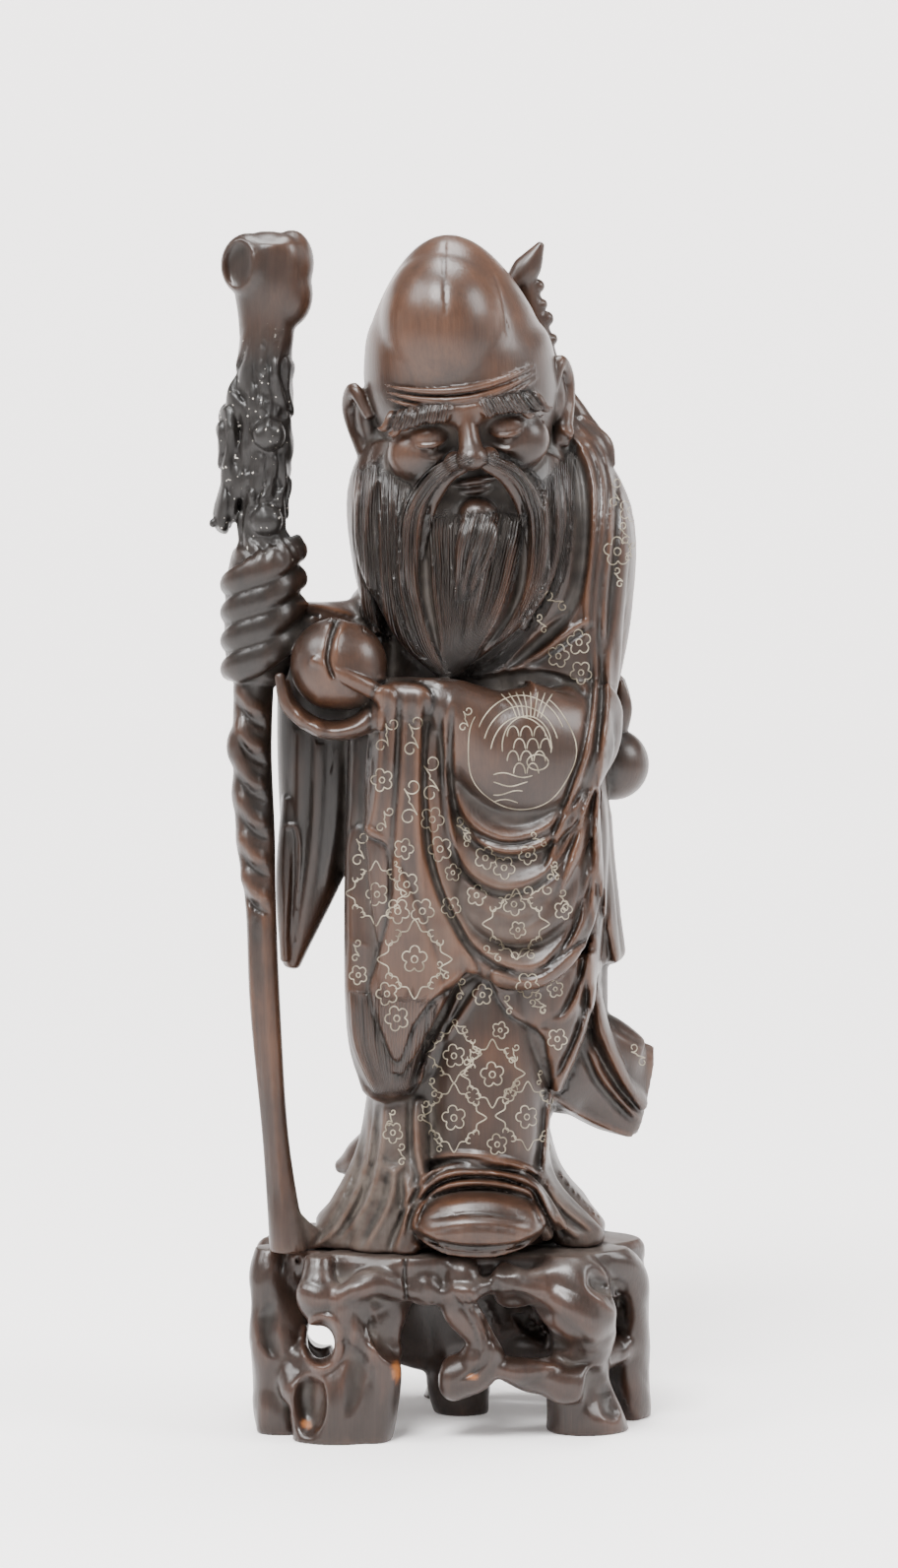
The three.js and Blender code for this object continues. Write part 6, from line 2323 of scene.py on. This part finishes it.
@dataclass(frozen=True)
class Elder:
    """The carved figure: its forms melted together, its cuts, and the carving drawn on it."""

    robe: Robe = Robe()
    head: Head = Head()
    beard: Beard = Beard()
    hands: Hands = Hands()
    staff: Staff = Staff()
    branch: Branch = Branch()
    folds: RobeFolds = RobeFolds()
    hair: BeardHair = BeardHair()
    bark: StaffBark = StaffBark()
    back: BackFolds = BackFolds()
    seed: int = 7
    triangles: int = 192000
    low: tuple[float, float, float] = (-92.0, -64.0, DECK - 4)  # mm, corners of the block
    high: tuple[float, float, float] = (94.0, 62.0, DECK + 405)
    polish: float = 0.2  # wear where hands rub, and the painted shade of the shadowed forms
    combed: float = 0.27  # wear less in the hair
    groove_shade: float = 0.17  # painted shade: darker in a drawn groove
    staff_edge: float = -12.6  # parts; the bark lies to its left
    bark_ends: tuple[float, float] = (67.0, 90.5)  # parts, heights at which the bark fades
    flank: tuple[float, float] = (9.0, 8.5)  # parts, where the left flank's folds start and how far back
    flank_ends: tuple[float, float] = (8.0, 72.0)  # parts, heights at which they fade
    clearance: float = 3.9  # parts round the middle of the fruit that they keep clear
    # Soft balls in parts: middle, reach and share
    film: Places = ((-8, -5, 3, 7.5, 1.5), (-4, -6, 9, 6, 1.0), (12, -4, 2, 6, 0.8), (5, -12, 33, 7, 0.7))
    # Above 0 rubbed wood; below 0 painted shade, where the fist, the sleeve behind it and other forms lie
    # in shadow.
    rubbed_and_shaded: Places = (
        (1.8, -8, 92, 11, 0.9), (-3, -13, 80, 4.2, 0.8), (7, -13, 82.5, 4.2, 0.8), (2, -17, 81, 3.5, 0.9),
        (-9.5, -12, 58, 6.5, 0.25), (17.7, 3, 46.7, 4.5, -0.6), (4.2, -12, 3.4, 6.5, 0.3),
        (-3, -12, 40, 7, 0.6), (-1, -12, 28, 5, 0.6), (-16.5, -8, 20, 10, 0.5), (-14, -13, 55, 5, 0.5),
        (9, -14, 56, 5, 0.5), (-17, -9, 62, 8, -1.1), (-11, -2, 46, 13, -1.3), (-19, -9, 96, 4.5, -0.7),
        (-1, -12, 71, 9, -0.5), (6, -12, 66, 8, -0.4))

    def block(self) -> Block:
        """The field of the forms, before the finer carving.

        Returns:
            The block.
        """
        block = Block(np.array(self.low), np.array(self.high))
        steps = (
            (block.join, [*self.robe.forms(), *self.beard.forms(), *self.head.forms()]),
            (block.cut, [*self.head.hollows(), self.beard.hollow()]),
            (block.join, [*self.head.lids(), *self.beard.locks(), *self.hands.forms(), *self.staff.forms(),
                          *self.branch.forms()]),
            (block.cut, [self.staff.hollow()]))
        for step, forms in steps:
            for form in forms:
                step(Form(form.shell.moved(PART, DECK), form.melt))
        block.below(DECK)
        return block

    def drawings(self) -> tuple[Drawing, Drawing]:
        """Draws the front and the back.

        Returns:
            Both drawings.
        """
        rng = np.random.default_rng(self.seed)
        front, back = Drawing(View()), Drawing(View(facing=-1))
        for panel in self.folds.panels():
            front.panel(panel)
        back.panel(Panel(self.back.coat, 1.5, 3, 1.0))
        front.comb(self.folds.fringe(), rng)
        for stroke in [*self.folds.strokes(), *self.bark.strokes(rng), *self.hair.gaps()]:
            front.stroke(stroke)
        for comb in self.hair.combs():
            front.comb(comb, rng)
        for stroke in self.back.strokes():
            back.stroke(stroke)
        for side in (-1, 1):
            front.comb(self.head.brow_hair(side), rng)
        for drawing in (front, back):
            drawing.finish()
        return front, back

    def build(self) -> bpy.types.Object:
        """Makes the figure.

        Returns:
            The piece.
        """
        block = self.block()
        front, back = self.drawings()
        seen, _ = block.surface()
        front.see(seen)
        back.see(seen)
        block.carve(lambda places, faces: front.read(front.heights, places, faces)
                    + back.read(back.heights, places, faces) + self.ridged(places)
                    + self.falls(places, faces))
        block.below(DECK)
        carving = Carving("elder_carved", block, self.triangles)
        made = carving.build()
        places, faces = carving.places(made)
        hair = front.read(blurred(front.hair, 2), places, faces)
        # Painted shade in the drawn grooves of the front and the back.
        grooves = front.read(front.grooves, places, faces) + back.read(back.grooves, places, faces)
        # Rubbed wood, less in the hair, with painted shade on shadowed forms and in the drawn grooves.
        wear_and_shade = (self.polish * self.rubbed(places) * (1 - hair) - self.combed * hair
                - self.groove_shade * grooves)
        carving.weather(made, wear_and_shade, self.dusty(places))
        carving.note(made, "hair", hair)
        across = front.read(front.across, places, np.broadcast_to(FRONT, faces.shape))
        carving.note(made, "hair_across", across)
        carving.note(made, "bark", self.barky(places))
        return made

    def dusty(self, places: Array) -> Array:
        """Returns the film of dust on the hem and the lower swags."""
        return self.around(places, self.film)

    def parts(self, places: Array) -> Array:
        """Returns x, y and z of places in parts, from the deck up."""
        return (places.T - np.array([[0], [0], [DECK]])) / PART

    def barky(self, places: Array) -> Array:
        """1 on the blackish bark of the upper staff, fading over 3 parts below and 4 above.

        Args:
            places: millimetres.

        Returns:
            A share for each place.
        """
        x, _, z = self.parts(places)
        low, high = self.bark_ends
        return np.where(x < self.staff_edge, np.clip((z - low) / 3, 0, 1) * np.clip((high - z) / 4, 0, 1),
                        0)

    def falls(self, places: Array, faces: Array) -> Array:
        """Height of the long folds down the robe's left flank, which neither drawing reaches: ridges
        of an absolute sine across the depth, bent along the height.

        Args:
            places: millimetres.
            faces: directions that the surface faces at the places.

        Returns:
            A height for each place.
        """
        x, y, z = self.parts(places)
        (start, back), (low, high), (a, b, c) = self.flank, self.flank_ends, self.branch.fruit
        aside = np.clip(1.1 - np.abs(faces[:, 1]) / 0.7, 0, 1) * np.clip(faces[:, 0] / 0.4, 0, 1)
        fruit = np.sqrt((x - a) ** 2 + (y - b) ** 2 + (z - c) ** 2)
        clear = np.clip((fruit - self.clearance) / 1.2, 0, 1)
        robe = np.clip((x - start) / 2, 0, 1) * np.clip((back - y) / 2, 0, 1) * clear
        long = np.clip((z - low) / 6, 0, 1) * np.clip((high - z) / 10, 0, 1)
        ridges = np.abs(np.sin(0.75 * y + 0.9 * np.sin(z / 9) + z / 16)) ** 0.8
        return aside * robe * long * (2.4 * ridges - 1.5)

    def ridged(self, places: Array) -> Array:
        """Height of the bark: ridges of an absolute sine across the staff, bent along and round it, and
        pits of a finer wave. The two round lumps stay smooth.

        Args:
            places: millimetres.

        Returns:
            A height for each place.
        """
        x, y, z = places.T
        lumps = self.around(places, [(*spot, 2.1, 1.6) for spot in self.staff.lumps])
        ridges = np.abs(np.sin(x / 1.8 + 1.5 * np.sin(z / 8) + 0.9 * np.sin(y / 2.6 + z / 6))) ** 0.7
        pits = np.sin(z / 2.4 + 2 * np.sin(x / 3.1) + 1.5 * np.sin(y / 2.7))
        return self.barky(places) * np.clip(1 - lumps, 0, 1) * (1.7 * ridges + 0.4 * pits - 1.1)

    def rubbed(self, places: Array) -> Array:
        """Returns how reddish the wood is rubbed on each form, or below 0 the painted shade of forms in
        shadow.
        """
        return self.around(places, self.rubbed_and_shaded)

    def around(self, places: Array, spots: Places) -> Array:
        """Sum of soft balls, where each share falls with the square of the distance over the reach.

        Args:
            places: millimetres.
            spots: middle and reach of each ball in parts, and its share.

        Returns:
            The sum for each place.
        """
        total = np.zeros(len(places), np.float32)
        for x, y, z, r, share in spots:
            away = (places - np.array([x, y, z + DECK / PART]) * PART) / (r * PART)
            total += share * np.clip(1.25 - (away**2).sum(1), 0, 1)
        return total


@dataclass(frozen=True)
class Studio:
    """A pale floor that sweeps up into a wall all round, soft lights and the camera of the photograph."""

    view: View = View()
    paper: str = "#f4f1f0"
    wall: float = 4.6  # m from the object
    bend: float = 1.2
    height: float = 1.7
    dim: float = 0.15  # glow of the paper on the camera's side, as if lamps below its edge lit it
    lit: float = 2.2  # glow far behind the object
    lamps: Sequence[tuple] = (
        ("soft_left", (-1.6, -0.7, 1.9), 1.0, 52), ("soft_right", (1.9, -0.6, 1.6), 1.0, 54),
        ("soft_front", (-0.5, -1.3, 2.0), 0.8, 112), ("soft_top", (0.1, 0.3, 2.2), 1.0, 66))
    aim: tuple[float, float, float] = (0.0, 0.0, 0.25)  # m, what the lamps look at
    air: str = "#f2efee"
    air_strength: float = 0.5
    sensor: float = 24.0  # mm, height of the camera's sensor
    sides: int = 96  # points in a ring of the floor

    def floor(self) -> None:
        """Lays the paper: a flat disc, a quarter circle and a wall, turned about the upright axis."""
        turn = np.linspace(0, math.pi / 2, 16)
        reach = np.concatenate([[1.0, 2.0], self.wall - self.bend + self.bend * np.sin(turn), [self.wall]])
        z = np.concatenate([[0.0, 0.0], self.bend - self.bend * np.cos(turn), [self.height]])
        sides = self.sides
        angle = 2 * np.pi * np.arange(sides) / sides
        rings = np.stack([reach[:, None] * np.cos(angle), reach[:, None] * np.sin(angle),
                          z[:, None] + 0 * angle], -1)
        points = np.vstack([rings.reshape(-1, 3), [[0, 0, 0]]])
        k, after = np.arange(sides), (np.arange(sides) + 1) % sides
        start = np.arange(len(z) - 1)[:, None] * sides
        quads = np.stack([start + k, start + after, start + sides + after, start + sides + k],
                         -1).reshape(-1, 4)[:, ::-1]
        tris = np.stack([np.full(sides, len(points) - 1), k, after], -1)
        mesh = bpy.data.meshes.new("paper_floor")
        mesh.from_pydata(points.tolist(), [], quads.tolist() + tris.tolist())
        mesh.shade_smooth()
        floor = placed("paper_floor", mesh)
        paper, tree, shader = plain("matt_paper")
        shader.inputs["Base Color"].default_value = linear(self.paper)
        shader.inputs["Emission Color"].default_value = linear(self.paper)
        shader.inputs["Roughness"].default_value = 0.9
        shader.inputs["Specular IOR Level"].default_value = 0.1
        apart = add(tree, "ShaderNodeSeparateXYZ", {},
                    {0: add(tree, "ShaderNodeTexCoord").outputs["Object"]})
        glow = add(tree, "ShaderNodeMapRange",
                   {"interpolation_type": "SMOOTHSTEP", "From Min": -0.2, "From Max": 2.6,
                    "To Min": self.dim, "To Max": self.lit},
                   {"Value": apart.outputs["Y"]})
        tree.links.new(glow.outputs[0], shader.inputs["Emission Strength"])
        mesh.materials.append(paper)

    def light(self, name: str, place: Sequence[float], size: float, power: float) -> None:
        """Adds a square soft light that looks at the middle of the figure.

        Args:
            name: the lamp's name.
            place: metres.
            size: side in metres.
            power: watts.
        """
        lamp = bpy.data.lights.new(name, "AREA")
        lamp.size, lamp.energy = size, power
        made = placed(name, lamp)
        made.location = place
        made.rotation_euler = (Vector(self.aim) - Vector(place)).to_track_quat("-Z", "Y").to_euler()

    def build(self) -> None:
        """Sets the floor, the lights, the air and the camera."""
        self.floor()
        for lamp in self.lamps:
            self.light(*lamp)
        world = bpy.data.worlds.new("pale_room")
        world.use_nodes = True
        air = world.node_tree.nodes["Background"]
        air.inputs["Color"].default_value = linear(self.air)
        air.inputs["Strength"].default_value = self.air_strength
        bpy.context.scene.world = world
        eye = bpy.data.cameras.new("eye")
        made = placed("eye", eye)
        made.location = [v * MM for v in self.view.eye]
        made.rotation_euler = (math.radians(90 - self.view.pitch), 0, 0)
        eye.sensor_fit, eye.sensor_height = "VERTICAL", self.sensor
        eye.lens = self.sensor * self.view.focal / self.view.height
        bpy.context.scene.camera = made


def dress(piece: bpy.types.Object, material: bpy.types.Material, node: str | None) -> None:
    """Gives a piece its body, the node it replaces and its material.

    Args:
        piece: the piece.
        material: its finish.
        node: the solid that it replaces, or None.
    """
    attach(piece, "root")
    if node:
        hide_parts(node)
    piece.data.materials.append(material)
    LOG.info("%s: %d faces", piece.name, len(piece.data.polygons))


def main() -> None:
    """Builds the figure, its wire, the plinth and the studio."""
    logging.basicConfig(level=logging.INFO, format="%(name)s: %(message)s")
    figure = Elder().build()
    polished = WaxedHardwood("rosewood_carved_waxed")
    dress(figure, polished.material(), "figure")
    wire = SilverWire().build(View(), figure)
    dress(wire, TarnishedSilver().material(), None)
    dusky = WaxedHardwood("rosewood_rootwork_waxed", body="#281d18", rubbed="#483228", roughness=0.3,
                          dusty=0.5)
    dress(Rootwork().build(), dusky.material(), "root_base")
    Studio().build()


if __name__ == "__main__":
    main()
